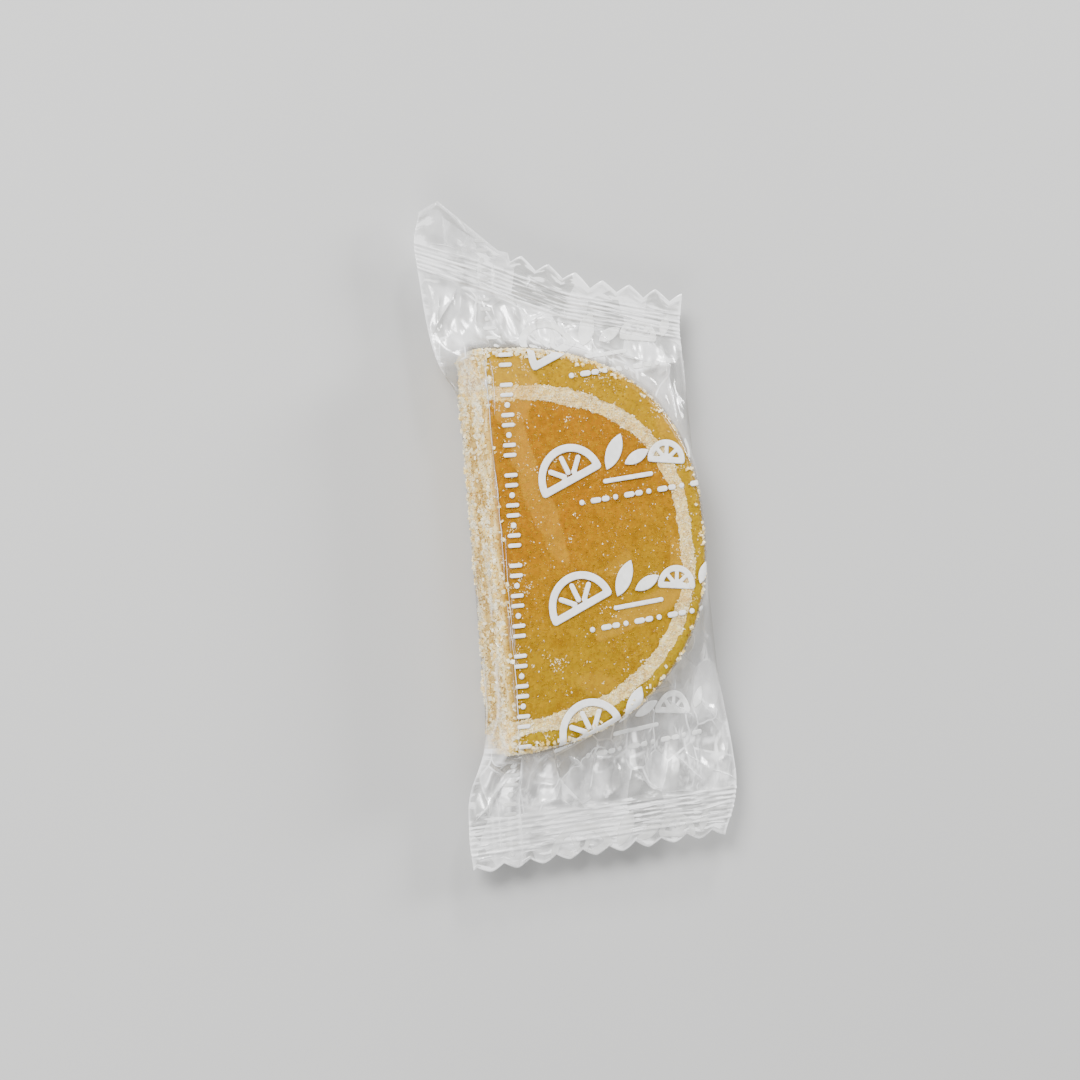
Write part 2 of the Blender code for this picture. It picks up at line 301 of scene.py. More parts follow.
# Sugars: layers they lie on, the amount they follow, blocks or splinters, light and dark colour,
# how far light goes in, and then what the scatter is given
SUGAR_INPUTS = ("Most per square metre", "Smallest", "Largest", "Seed")
SUGARS = {
    "sugar_crust": (
        ("rind", "pith", "flesh"), "coarse", True, "crust_sugar",
        (0.98, 0.90, 0.64), (0.92, 0.63, 0.17), 0.3, 10.5e6, 0.16 * MM, 0.58 * MM, 3),
    "sugar_specks": (
        ("rind", "pith", "flesh"), "fine", True, "white_sugar",
        (0.92, 0.80, 0.48), (0.84, 0.58, 0.18), 0.3, 11.0e6, 0.05 * MM, 0.20 * MM, 4),
    "sugar_golden": (
        ("rind", "flesh"), "grains", False, "golden_sugar",
        (0.46, 0.262, 0.0), (0.31, 0.146, 0.0), 0.0, 11.0e6, 0.10 * MM, 0.24 * MM, 5),
    "sugar_cream": (
        ("pith",), "grains", False, "cream_sugar",
        (0.96, 0.86, 0.55), (0.72, 0.51, 0.20), 0.2, 26.0e6, 0.14 * MM, 0.40 * MM, 6),
}

# Camera, at the photograph's angle and framing
LEAN = radians(22.0)
ROLL_RIGHT = 0.9966
ROLL_UP = 0.0823
AIM = (5.8 * MM, 1.06 * MM, 10.0 * MM)
CAMERA_DISTANCE = 0.374
LENS_MM = 100.0
SENSOR_MM = 36.0

# Soft lights: place, size and power; how far the floor reaches and how bright the room is
LIGHTS = {
    "key": ((-0.34, 0.30, 0.42), 0.24, 7.2),
    "fill": ((-0.30, -0.38, 0.30), 0.30, 2.7),
    "rim": ((0.46, 0.16, 0.20), 0.14, 3.6),
    "end": ((0.10, 0.52, 0.26), 0.10, 2.2),
}
FLOOR_REACH = 3.0
ROOM_BRIGHTNESS = 0.26


def srgb(red, green, blue):
    """A colour given as it looks on a screen, from 0 to 255, made linear."""
    shares = [value / 255.0 for value in (red, green, blue)]
    return tuple(s / 12.92 if s <= 0.04045 else ((s + 0.055) / 1.055) ** 2.4 for s in shares)


def opaque(colour):
    """A plain colour with full cover added; what comes from a node stays as it is."""
    return (*colour, 1.0) if isinstance(colour, tuple) else colour


class Wire:
    """An output of a node, with which sums can be written."""

    def __init__(self, kit, socket):
        self.kit = kit
        self.socket = socket

    def other(self, name):
        """Another output of the same node."""
        return Wire(self.kit, self.socket.node.outputs[name])

    def __add__(self, other):
        return self.kit.sum("ADD", self, other)

    def __sub__(self, other):
        return self.kit.sum("SUBTRACT", self, other)

    def __rsub__(self, other):
        return self.kit.sum("SUBTRACT", other, self)

    def __mul__(self, other):
        return self.kit.sum("MULTIPLY", self, other)

    def __truediv__(self, other):
        return self.kit.sum("DIVIDE", self, other)

    def __pow__(self, other):
        return self.kit.sum("POWER", self, other)

    __radd__, __rmul__ = __add__, __mul__

    def limited(self):
        """The same value, kept between 0 and 1."""
        return self.kit.sum("ADD", self, 0.0, clamped=True)


class Kit:
    """Adds nodes to one tree."""

    def __init__(self, tree):
        self.tree = tree

    def node(self, kind, settings=None, values=None, out=0):
        """Adds a node, sets it up, and gives one of its outputs back if it has any."""
        made = self.tree.nodes.new(kind)
        for name, value in (settings or {}).items():
            setattr(made, name, value)
        for name, value in (values or {}).items():
            if isinstance(value, Wire):
                self.tree.links.new(value.socket, made.inputs[name])
            else:
                made.inputs[name].default_value = value
        return Wire(self, made.outputs[out]) if made.outputs else made

    def sum(self, operation, first, second, clamped=False):
        """Two values joined by an arithmetic operation."""
        settings = {"operation": operation, "use_clamp": clamped}
        return self.node("ShaderNodeMath", settings, {0: first, 1: second})


class Finish(Kit):
    """A material built from nodes."""

    def __init__(self, name):
        self.material = bpy.data.materials.new(name)
        self.material.use_nodes = True
        super().__init__(self.material.node_tree)
        self.tree.nodes.clear()
        self.place = self.node("ShaderNodeTexCoord", out="Object")

    def noise(self, size, detail=2.0, stretch=(1.0, 1.0, 1.0), roughness=0.5, place=None):
        """Soft noise whose lumps are about this many metres wide."""
        place = place or self.place
        if stretch != (1.0, 1.0, 1.0):
            place = self.node("ShaderNodeMapping", values={"Vector": place, "Scale": stretch})
        values = {"Vector": place, "Scale": 1.0 / size, "Detail": detail, "Roughness": roughness}
        return self.node("ShaderNodeTexNoise", values=values)

    def cells(self, size, out="Distance", stretch=(1.0, 1.0, 1.0), feature="F1"):
        """Irregular cells about this many metres wide: distance to middle or edge, or a shade."""
        place = self.node("ShaderNodeMapping", values={"Vector": self.place, "Scale": stretch})
        values = {"Vector": place, "Scale": 1.0 / size}
        return self.node("ShaderNodeTexVoronoi", {"feature": feature}, values, out)

    def step(self, value, start, end):
        """0 below start, 1 above end, smooth between them."""
        settings = {"interpolation_type": "SMOOTHSTEP"}
        return self.node("ShaderNodeMapRange", settings, {0: value, 1: start, 2: end})

    def blend(self, share, first, second):
        """A share of the second colour mixed into the first."""
        values = {0: share, 6: opaque(first), 7: opaque(second)}
        return self.node("ShaderNodeMix", {"data_type": "RGBA"}, values, out=2)

    def along(self, axis):
        """The distance from the slab's own middle along one axis, in metres."""
        parts = self.node("ShaderNodeSeparateXYZ", values={0: self.place}, out=axis)
        return parts - float(PLACE["XYZ".index(axis)])

    def bump(self, height, distance, strength=1.0):
        """A relief for a shader's Normal."""
        values = {"Height": height, "Distance": distance, "Strength": strength}
        return self.node("ShaderNodeBump", values=values)

    def painted(self, **values):
        """The usual shader, with its sockets given by name, such as Base_Color."""
        values = {name.replace("_", " "): value for name, value in values.items()}
        return self.node("ShaderNodeBsdfPrincipled", values=values)

    def finish(self, shader):
        """Makes a shader the whole material."""
        self.node("ShaderNodeOutputMaterial", values={"Surface": shader})
        return self.material

    def finish_clear(self, share, shader):
        """Makes a shader this share of the material, and clear the rest."""
        clear = self.node("ShaderNodeBsdfTransparent", values={"Color": (0.98, 0.98, 0.98, 1.0)})
        values = {0: share.limited(), 1: clear, 2: shader}
        return self.finish(self.node("ShaderNodeMixShader", values=values))


def smooth_step(value, start, end):
    """0 before start, 1 past end, smooth between them."""
    share = np.clip((value - start) / (end - start), 0.0, 1.0)
    return share * share * (3.0 - 2.0 * share)


def bell(value, middle, width, power=2):
    """1 in the middle, falling off softly to both sides."""
    return np.exp(-((value - middle) / width) ** power)


def chance(cells, seed):
    """A number between -1 and 1 for each whole-numbered cell."""
    code = (cells * (73856093, 19349663, 83492791)[:cells.shape[-1]]).sum(axis=-1)
    code = (code + seed * 7919) & 0xFFFFFFFF
    code = ((code ^ (code >> 15)) * 2246822519) & 0xFFFFFFFF
    code = ((code ^ (code >> 13)) * 3266489917) & 0xFFFFFFFF
    return ((code ^ (code >> 16)) & 65535) / 32767.5 - 1.0


def lumps(points, size, seed):
    """Smooth noise between -1 and 1, with lumps about this many metres wide."""
    place = np.asarray(points) / size
    cell = np.floor(place).astype(np.int64)
    share = place - cell
    share = share * share * (3.0 - 2.0 * share)
    total = np.zeros(place.shape[:-1])
    for corner in np.ndindex(*[2] * place.shape[-1]):
        corner = np.array(corner)
        weight = np.prod(np.where(corner, share, 1.0 - share), axis=-1)
        total += chance(cell + corner, seed) * weight
    return total


def crumpled(points, size, seed):
    """A crumpled sheet: 0 along its straight creases, about 0.5 in the middle of its facets."""
    place = points / size
    cell = np.floor(place).astype(np.int64)
    sites = []
    for step in np.ndindex(5, 5):
        corner = cell + np.array(step) - 2
        shift = np.stack([chance(corner, seed), chance(corner, seed + 1)], axis=-1)
        sites.append(corner + 0.5 + 0.45 * shift)
    sites = np.array(sites)
    nearest = np.linalg.norm(sites - place, axis=-1).argmin(axis=0)
    nearest = np.take_along_axis(sites, nearest[None, ..., None], axis=0)
    between = sites - nearest
    gap = np.linalg.norm(between, axis=-1)
    border = np.sum((0.5 * (sites + nearest) - place) * between, axis=-1) / np.maximum(gap, 1e-6)
    return np.where(gap < 1e-6, 9.0, border).min(axis=0)


def along(points, place):
    """The value at a place on a line drawn through a few points, given in mm."""
    places, values = np.array(points).T
    return np.interp(place, places, values)


def fold(points, distance):
    """How far across a side fold lies, in metres, at a distance along the slab."""
    reach = np.linspace(-1.5, 1.5, 7)
    near = [along(points, distance / MM + step) for step in reach]
    return np.mean(near, axis=0) * MM


def roundness(way):
    """How square the outline is: from its low end's power at -1 to its high end's at 1."""
    middle = 0.5 * (ROUNDNESS_LOW_END + ROUNDNESS_HIGH_END)
    return middle + 0.5 * (ROUNDNESS_HIGH_END - ROUNDNESS_LOW_END) * way


def slab_distance(x, y):
    """Distance outside the slab's outline, negative inside it."""
    power = roundness(np.tanh(y / ROUNDNESS_CHANGE))
    across = np.maximum(x, 0.0) / SLAB_DEPTH
    lengthwise = np.abs(y) / SLAB_HALF_LENGTH
    ratio = np.maximum((across ** power + lengthwise ** power) ** (1.0 / power), 1e-3)
    rind = np.hypot(np.maximum(x, 0.0), y) * (1.0 - 1.0 / ratio)
    outside = np.hypot(np.maximum(-x, 0.0), np.maximum(rind, 0.0))
    return outside + np.minimum(np.maximum(-x, rind), 0.0)


def placed(name, data):
    """An object for a mesh, a lamp or a camera, put into the scene."""
    made = bpy.data.objects.new(name, data)
    bpy.context.scene.collection.objects.link(made)
    return made


def mesh_object(name, points, faces, material):
    """A mesh in its place, with faces turned outwards."""
    mesh = bpy.data.meshes.new(name)
    mesh.from_pydata((np.asarray(points) + PLACE).tolist(), [], np.asarray(faces).tolist())
    shape = bmesh.new()
    shape.from_mesh(mesh)
    bmesh.ops.recalc_face_normals(shape, faces=shape.faces[:])
    shape.to_mesh(mesh)
    shape.free()
    mesh.materials.append(material)
    mesh.shade_smooth()
    return placed(name, mesh)


def set_amounts(mesh, amounts):
    """Amounts for every point of a mesh, or one for all, which a material or a scatter can read."""
    for name, amount in amounts.items():
        layer = mesh.attributes.new(name, "FLOAT", "POINT")
        spread = np.broadcast_to(np.ravel(amount), len(mesh.vertices))
        layer.data.foreach_set("value", np.array(spread, np.float32))


def grid_faces(numbers):
    """Four-cornered faces between neighbours in a grid of point numbers."""
    corners = numbers[:-1, :-1], numbers[:-1, 1:], numbers[1:, 1:], numbers[1:, :-1]
    return np.stack(corners, axis=-1).reshape(-1, 4)


def closed_sheets(name, upper, lower, material):
    """One closed shape from two sheets of points, joined along all their edges."""
    number = np.arange(upper[..., 0].size).reshape(upper.shape[:2])
    count = number.size
    rim = np.concatenate([number[0, :-1], number[:-1, -1], number[-1, :0:-1], number[:0:-1, 0]])
    after = np.roll(rim, -1)
    wall = np.stack([after, rim, rim + count, after + count], axis=-1)
    faces = np.concatenate([grid_faces(number), grid_faces(number + count)[:, ::-1], wall])
    points = np.concatenate([upper.reshape(-1, 3), lower.reshape(-1, 3)])
    return mesh_object(name, points, faces, material)


def segment(x, y, x0, y0, x1, y1):
    """How far along a line from its first end each place is, 0 to 1, and its distance from it."""
    step_x, step_y = x1 - x0, y1 - y0
    share = ((x - x0) * step_x + (y - y0) * step_y) / (step_x ** 2 + step_y ** 2)
    near = np.clip(share, 0.0, 1.0)
    return near, np.hypot(x - x0 - near * step_x, y - y0 - near * step_y)


def turned(step_x, step_y, turn):
    """The same steps, measured along a direction and to its left."""
    return step_x * cos(turn) + step_y * sin(turn), step_y * cos(turn) - step_x * sin(turn)


# Film


def tooth_wave(width_share, start=0.0):
    """Zigzag between 0 in a notch and 1 at a tip."""
    phase = (1.0 - width_share) * TEETH_ACROSS
    wave = np.abs(2.0 * (phase - np.floor(phase)) - 1.0)
    return np.where(width_share < start, 1.0, wave)


def column_places():
    """Shares of the film's width at which its columns lie, closer together at the two folds."""
    step = 1.0 / (TEETH_ACROSS * 2 * (COLUMNS_PER_TOOTH // 2 + 1))
    inner = 1.0 - step * np.arange(1, int(1.0 / step) + 1)
    ends = np.array(EDGE_COLUMNS)
    inner = inner[(inner > ends.max()) & (inner < 1.0 - ends.max())]
    return np.unique(np.concatenate([[0.0, 1.0], inner, ends, 1.0 - ends]))


def rim_line(columns, end):
    """Distance along the slab at which each column crosses its rim, at one end."""
    power = ROUNDNESS_HIGH_END if end > 0.0 else ROUNDNESS_LOW_END
    reach = np.full_like(columns, SLAB_HALF_LENGTH)
    for _ in range(8):
        left, right = fold(LEFT_FOLD, end * reach), fold(RIGHT_FOLD, end * reach)
        across = np.clip((left + (right - left) * columns) / SLAB_DEPTH, 0.0, 1.0)
        reach = SLAB_HALF_LENGTH * (1.0 - across ** power) ** (1.0 / power)
        reach = np.maximum(reach, RIM_ROWS_LEAST_REACH)
    return end * reach


def row_lines(columns):
    """The film's cross lines: distances along the slab, and how far up a rib each lies."""
    low_edge, low_outer, low_inner, high_inner, high_outer, high_edge = (
        along(line, columns) * MM for line in (
            LOW_EDGE, LOW_RIBS_OUTER, LOW_RIBS_INNER, HIGH_RIBS_INNER, HIGH_RIBS_OUTER, HIGH_EDGE))
    uneven = 0.85 + 0.15 * lumps(columns[:, None] * TEETH_ACROSS, 0.9, 17)
    low_edge += LOW_TOOTH_DEPTH * uneven * (1.0 - tooth_wave(columns)) ** 1.4
    high_edge -= HIGH_TOOTH_DEPTH * uneven * (1.0 - tooth_wave(columns, HIGH_TEETH_FROM)) ** 1.2
    rib_steps, flap_steps, rim_steps, face_steps, margin_steps = (
        np.arange(rows) / rows
        for rows in (ROWS_PER_RIB * RIBS, FLAP_ROWS, RIM_ROWS, FACE_ROWS, MARGIN_ROWS))
    low_rim = rim_line(columns, -1.0)
    high_rim = rim_line(columns, 1.0)
    low_face = low_rim + FILM_EDGE
    high_face = high_rim - FILM_EDGE
    stretches = (
        (low_edge, low_outer, margin_steps, 0.0),
        (low_outer, low_inner, rib_steps, 1.0),
        (low_inner, low_rim, 1.0 - (1.0 - flap_steps) ** 1.4, 0.0),
        (low_rim, low_face, rim_steps, 0.0),
        (low_face, high_face, face_steps, 0.0),
        (high_face, high_rim, rim_steps, 0.0),
        (high_rim, high_inner, flap_steps ** 1.4, 0.0),
        (high_inner, high_outer, rib_steps, 1.0),
        (high_outer, high_edge, margin_steps, 0.0),
    )
    lines, ribs = [], []
    for start, end, steps, ribbed in stretches:
        for step in steps:
            lines.append(start + (end - start) * step)
            strength = RIB_STRENGTHS[int(RIBS * step)]
            ribs.append(ribbed * strength * (0.5 - 0.5 * cos(tau * RIBS * step)))
    lines.append(high_edge)
    ribs.append(0.0)
    return np.array(lines), np.array(ribs)[:, None], low_inner, high_inner


def line_place(x, y, line):
    """Distance from a line in metres, and how far each point is from the line's ends, 0 to 1."""
    near, away = segment(x, y, *(value * MM for value in line[:4]))
    return away, np.sqrt(np.clip(4.0 * near * (1.0 - near), 0.0, 1.0))


def ridge(x, y, line):
    """A fold's height: sharp along its line, fading at the ends."""
    away, fade = line_place(x, y, line)
    height, width = line[4] * MM, line[5] * MM
    return height * (0.35 + 0.65 * fade) * bell(away, 0.0, width, 1.4)


def shine(x, y, line, width, brightness):
    """A bright line along a fold's top."""
    away, fade = line_place(x, y, line)
    return brightness * fade * bell(away, 0.0, width * MM)


def small_folds(seed):
    """Short folds that fan out from the slab's ends to the seals."""
    draw = np.random.default_rng(seed)
    for _ in range(SMALL_FOLDS):
        end = 1.0 if draw.random() < 0.5 else -1.0
        x0 = draw.uniform(-3.0, 31.0)
        y0 = end * (draw.uniform(24.0, 31.0) - 0.006 * x0 * x0)
        turn = draw.normal(0.0, 0.55) + 0.02 * (x0 - 14.0)
        length = draw.uniform(1.5, 5.5)
        rise = draw.uniform(0.10, 0.30) * draw.choice((-1.0, 1.0))
        gleam = draw.uniform(0.2, 0.8) if rise > 0.0 else 0.0
        yield (x0, y0, x0 + length * sin(turn), y0 + end * length * cos(turn), rise, 0.30, gleam)


def gleams(x, y, folds, creases, ribs, brushed, to_side, to_cut, free):
    """How brightly each point of the film shines, from its folds, creases, seals and edges."""
    flat = np.stack([x, y], axis=-1)
    bright = np.zeros_like(x)
    for line in folds:
        bright = np.maximum(bright, shine(x, y, line, 0.36 * line[5], 0.7 * line[6]))
    bright *= np.clip(0.9 + 0.6 * lumps(flat, 1.6 * MM, 51), 0.0, 1.0) * (0.3 + 0.7 * free)
    broken = np.clip(0.8 + 0.6 * lumps(flat, 1.4 * MM, 58), 0.25, 1.0)
    for line in BRIGHT_LINES:
        bright = np.maximum(bright, 0.8 * broken * shine(x, y, line, line[4], line[5]))
    along_rib = lumps(brushed, 0.55 * MM, 52) + 0.5 * lumps(brushed, 0.3 * MM, 53)
    on_rib = smooth_step(ribs, 0.55, 0.95) * smooth_step(along_rib, 0.0, 0.7)
    bright = np.maximum(bright, 0.90 * on_rib)
    picked = lumps(flat, 4.5 * MM, 54) + 0.3 * lumps(flat, 1.5 * MM, 55)
    picked = smooth_step(picked, 0.05, 0.45)
    bright = np.maximum(bright, 0.75 * bell(creases, 0.0, 0.15 * MM) * picked * free)
    past_slab = smooth_step(np.abs(y), 13.0 * MM + 9.0 * MM * (x < 0.0), 23.0 * MM)
    bright = np.maximum(bright, 0.45 * bell(to_side, 0.0, 0.30 * MM) * past_slab)
    along_wall = smooth_step(lumps(flat * (1.0, 0.3), 1.1 * MM, 56), -0.1, 0.6) * (x < 0.0)
    sheen = bell(to_side, WALL_SHEEN, WALL_SHEEN_WIDTH) * along_wall
    bright = np.maximum(bright, 0.42 * sheen)
    return np.maximum(bright, 0.35 * bell(to_cut, 0.0, 0.35 * MM))


def lit_side(sheet):
    """How far each part of a sheet leans towards the light at the upper left."""
    down, across = np.gradient(sheet, axis=(0, 1))
    normal = np.cross(across, down)
    normal /= np.maximum(np.linalg.norm(normal, axis=-1, keepdims=True), 1e-12)
    return (normal * np.sign(normal[..., 2:])) @ (-0.75, 0.66, 0.0)


def milkiness(x, y, columns, loose, in_seal, to_cut):
    """How milky the film is before light falls on it, with painted shade through the middle of the
    seal's teeth, and how far it is stretched clear.
    """
    hanging = loose + in_seal
    high_end = smooth_step(y, 22.0 * MM, 29.0 * MM) * smooth_step(x, 0.0, 9.0 * MM)
    clouds = lumps(np.stack([x, y], axis=-1), 4.0 * MM, 31)
    milky = MILKY_LOOSE * loose + MILKY_SEAL * in_seal + MILKY_HIGH_END * high_end * hanging
    milky += (0.10 * clouds + 0.02) * hanging
    # Painted shade: the film is made clearer, and so darker, in a band through the middle of the
    # seal's teeth.
    milky -= TOOTH_MIDDLE_SHADE * bell(to_cut, 0.95 * MM, 0.45 * MM) * in_seal
    corner = smooth_step(y - along(HIGH_RIBS_OUTER, columns) * MM, 0.0, 0.9 * MM)
    milky -= CORNER_CLEARS * corner * (1.0 - smooth_step(columns, 0.28, 0.42))
    beside_cut = 1.0 - smooth_step(np.abs(y), 23.5 * MM, 27.0 * MM)
    beside_cut = beside_cut * (1.0 - smooth_step(x, 0.0, 2.0 * MM))
    beside_rim = 1.0 - smooth_step(np.abs(y), 13.0 * MM, 21.0 * MM)
    beside_rim = beside_rim * smooth_step(x, 17.0 * MM, 22.0 * MM)
    stretched = np.maximum(beside_cut, 0.9 * beside_rim)
    return MILKY_CLOSE + milky * (1.0 - STRETCHED_CLEARS * stretched), stretched


def haziness(x, y, clear):
    """Hazy places over the jelly, which also carry a painted reflection, and a painted glow beside
    its rim.
    """
    uneven = 0.22 * lumps(np.stack([x, y], axis=-1), 1.6 * MM, 41)
    haze_and_painted_light = np.zeros_like(x)
    for across, length, half_x, half_y, turn, strength in HAZY_PLACES:
        side, ahead = turned(x - across * MM, y - length * MM, radians(turn))
        radius = np.hypot(side / (half_x * MM), ahead / (half_y * MM)) + uneven
        patch = strength * (1.0 - smooth_step(radius, 0.85, 1.08))
        haze_and_painted_light = np.maximum(haze_and_painted_light, patch * (clear < 0.0))
    glow = GLOW * bell(clear, FILM_EDGE, GLOW_WIDTH)
    return np.maximum(haze_and_painted_light, glow * smooth_step(x, 0.0, 3.0 * MM) * (clear > 0.5 * FILM_EDGE))


def film_sheets():
    """Top and bottom of the film as grids of points, and how each point of them looks."""
    columns = column_places()
    y, ribs, low_inner, high_inner = row_lines(columns)
    left = fold(LEFT_FOLD, y[:, :1])
    right = fold(RIGHT_FOLD, y[:, -1:])
    x = left + (right - left) * columns
    flat = np.stack([x, y], axis=-1)

    clear = slab_distance(x, y) + FILM_EDGE
    gaps = np.stack([x - left, right - x, y - low_inner, high_inner - y])
    gaps = np.maximum(gaps, 1e-7)
    to_fold = np.sum(gaps ** -4.0, axis=0) ** -0.25
    room = np.maximum(clear, 0.0) + to_fold
    rounded = np.clip(clear, 0.0, FILM_EDGE)
    edge_drop = FILM_EDGE - np.sqrt(FILM_EDGE ** 2 - rounded ** 2)
    beyond = np.maximum(clear - FILM_EDGE, 0.0) / np.maximum(room - FILM_EDGE, 1e-7)
    beyond = np.clip(beyond, 0.0, 1.0)
    slackened = np.exp(-np.maximum(room - TIGHT_ROOM, 0.0) / ROOM_TO_SLACKEN)
    bulge = SLACK_BULGE + TIGHT_BULGE * slackened
    fall = (1.0 - beyond ** bulge) ** (1.0 / bulge)
    drop = smooth_step(np.abs(y), *SEAL_DROP)
    middle = FOLD_HEIGHT + (SEAL_HEIGHT - FOLD_HEIGHT) * drop
    middle = middle + 0.25 * MM * lumps(flat, 9.0 * MM, 3) * drop

    free = smooth_step(beyond, 0.02, 0.30) * smooth_step(to_fold, 0.0, 1.4 * MM)
    end_flap = smooth_step(np.abs(y), 22.0 * MM, 30.0 * MM)
    turns = tau * columns
    pleats = np.sin(PLEATS_ACROSS * turns + PLEAT_SWAY * np.sin(2.0 * turns + np.sign(y)))
    pleats = PLEAT_HEIGHT * free * end_flap * pleats
    half = 0.5 * SEAL_THICKNESS
    to_side = np.minimum(x - left, right - x)
    to_cut = np.minimum(y - y[:1], y[-1:] - y)
    in_seal = np.clip(1.0 - to_fold / (0.9 * MM), 0.0, 1.0) * (np.abs(y) > 24.0 * MM)
    loose = free * smooth_step(room, 1.2 * MM, 3.4 * MM)
    leaning = np.stack([x, 0.6 * y + 0.2 * x], axis=-1)
    across_ribs = 0.107 * MM * np.arange(len(x))[:, None] + 0.0 * x
    brushed = np.stack([x / 7.0, across_ribs], axis=-1)
    milky, stretched = milkiness(x, y, columns, loose, in_seal, to_cut)
    sheets, shines, milky_and_lit = [], [], []
    for upper in (True, False):
        seed = FOLD_SEED if upper else FOLD_SEED + 1
        wide = crumpled(leaning, FACET_SIZE, seed)
        narrow = crumpled(leaning, SMALL_FACET_SIZE, seed + 5)
        folds = list(small_folds(seed)) + list(TOP_FOLDS if upper else ())
        crumple = (1.35 * wide + 0.30 * narrow - 0.36) * MM
        crumple = (crumple + sum(ridge(x, y, line) for line in folds)) * free
        creases = np.minimum(4.6 * wide, 0.06 + 3.0 * narrow) * MM
        shines.append(gleams(
            x, y, folds, creases, ribs + 0.0 * x, brushed, to_side, to_cut, free))
        wave = RIB_HEIGHT * ribs * (0.75 + 0.35 * lumps(flat, 3.0 * MM, 8))
        if upper:
            ripple = 0.035 * MM * lumps(flat, 3.2 * MM, 21)
            high = FILM_TOP - TOP_SHEET_DROP + ripple - edge_drop
            z = middle + half + (high - middle - half) * fall + pleats + crumple + wave
            z = np.minimum(z, FILM_TOP + TOP_SHEET_RISE)
        else:
            z = middle - half - (middle - half - edge_drop) * fall
            z = z + 0.5 * pleats - 0.7 * crumple + wave
            z = np.maximum(np.where(clear < 0.0, BOTTOM_SHEET_LIFT, z), BOTTOM_SHEET_LIFT)
        sheets.append(np.stack([x, y, z], axis=-1))
        # Painted light and shade: facets that lean towards the light at the upper left are made
        # milkier and so brighter, and facets that lean away are made clearer and so darker.
        lit = np.clip(lit_side(sheets[-1]), *LIT_RANGE)
        lit = lit * (loose + 0.4 * in_seal) * (1.0 - 0.7 * stretched)
        milky_and_lit.append(np.clip(milky + LIT_SHARE * lit, 0.0, 1.0))
    top, bottom = sheets
    top[..., 2] = np.maximum(top[..., 2], bottom[..., 2] + SHEETS_APART)

    haze_and_painted_light = haziness(x, y, clear)
    amounts = {
        "milky": np.stack(milky_and_lit), "gleam": np.stack(shines), "haze_and_painted_light": np.stack([haze_and_painted_light, 0.0 * haze_and_painted_light]),
        "seal": np.stack([in_seal] * 2), "across": np.stack([across_ribs] * 2),
    }
    return top, bottom, amounts


def fin_seal(bottom, material):
    """The film's lengthwise seal, folded flat against the back."""
    x, y, z = bottom[..., 0], bottom[..., 1], bottom[..., 2]
    rows = range(2, bottom.shape[0] - 2, 2)
    places = np.linspace(FIN_LEFT, FIN_RIGHT, FIN_COLUMNS)
    under, over = [], []
    lines = 0.02 * MM * np.cos(tau * 6.0 * (places - FIN_LEFT) / (FIN_RIGHT - FIN_LEFT))
    for row in rows:
        near_end = smooth_step(np.abs(np.interp(0.0, x[row], y[row])), 22.0 * MM, 31.0 * MM)
        across = places + FIN_SHIFT_UNDER_SLAB * (1.0 - near_end)
        along_fin = np.interp(across, x[row], y[row])
        height = np.interp(across, x[row], z[row])
        low = np.maximum(height - FIN_GAP + lines, 0.02 * MM)
        under.append(np.stack([across, along_fin, low], axis=-1))
        over.append(np.stack([across, along_fin, low + FIN_THICKNESS], axis=-1))
    fin = closed_sheets("fin_seal", np.array(over), np.array(under), material)
    edge = np.abs(np.linspace(-1.0, 1.0, len(places))) ** 6
    gleam = np.tile(0.7 * edge, 2 * len(rows))
    set_amounts(fin.data, dict.fromkeys(FILM_AMOUNTS, 0.0) | {"milky": 0.22, "gleam": gleam})
    return fin


def search_tree(film):
    """The film's faces, ready for finding where a line meets them."""
    shape = bmesh.new()
    shape.from_mesh(film.data)
    tree = BVHTree.FromBMesh(shape)
    shape.free()
    return tree


def lay_on(tree, flat, upper):
    """Where places seen from above or below meet the film, or nothing where they miss it."""
    lift = 1.0 if upper else -1.0
    way = Vector((0.0, 0.0, -lift))
    start = PLACE[2] + 0.03 * lift
    places = np.full((len(flat), 3), np.nan)
    for number, (across, length) in enumerate(flat):
        eye = Vector((across + PLACE[0], length + PLACE[1], start))
        hit, normal, _, _ = tree.ray_cast(eye, way)
        if hit is not None:
            away = normal if normal.z * lift > 0.0 else -normal
            places[number] = np.array(hit + away * PRINT_LIFT) - PLACE
    return places


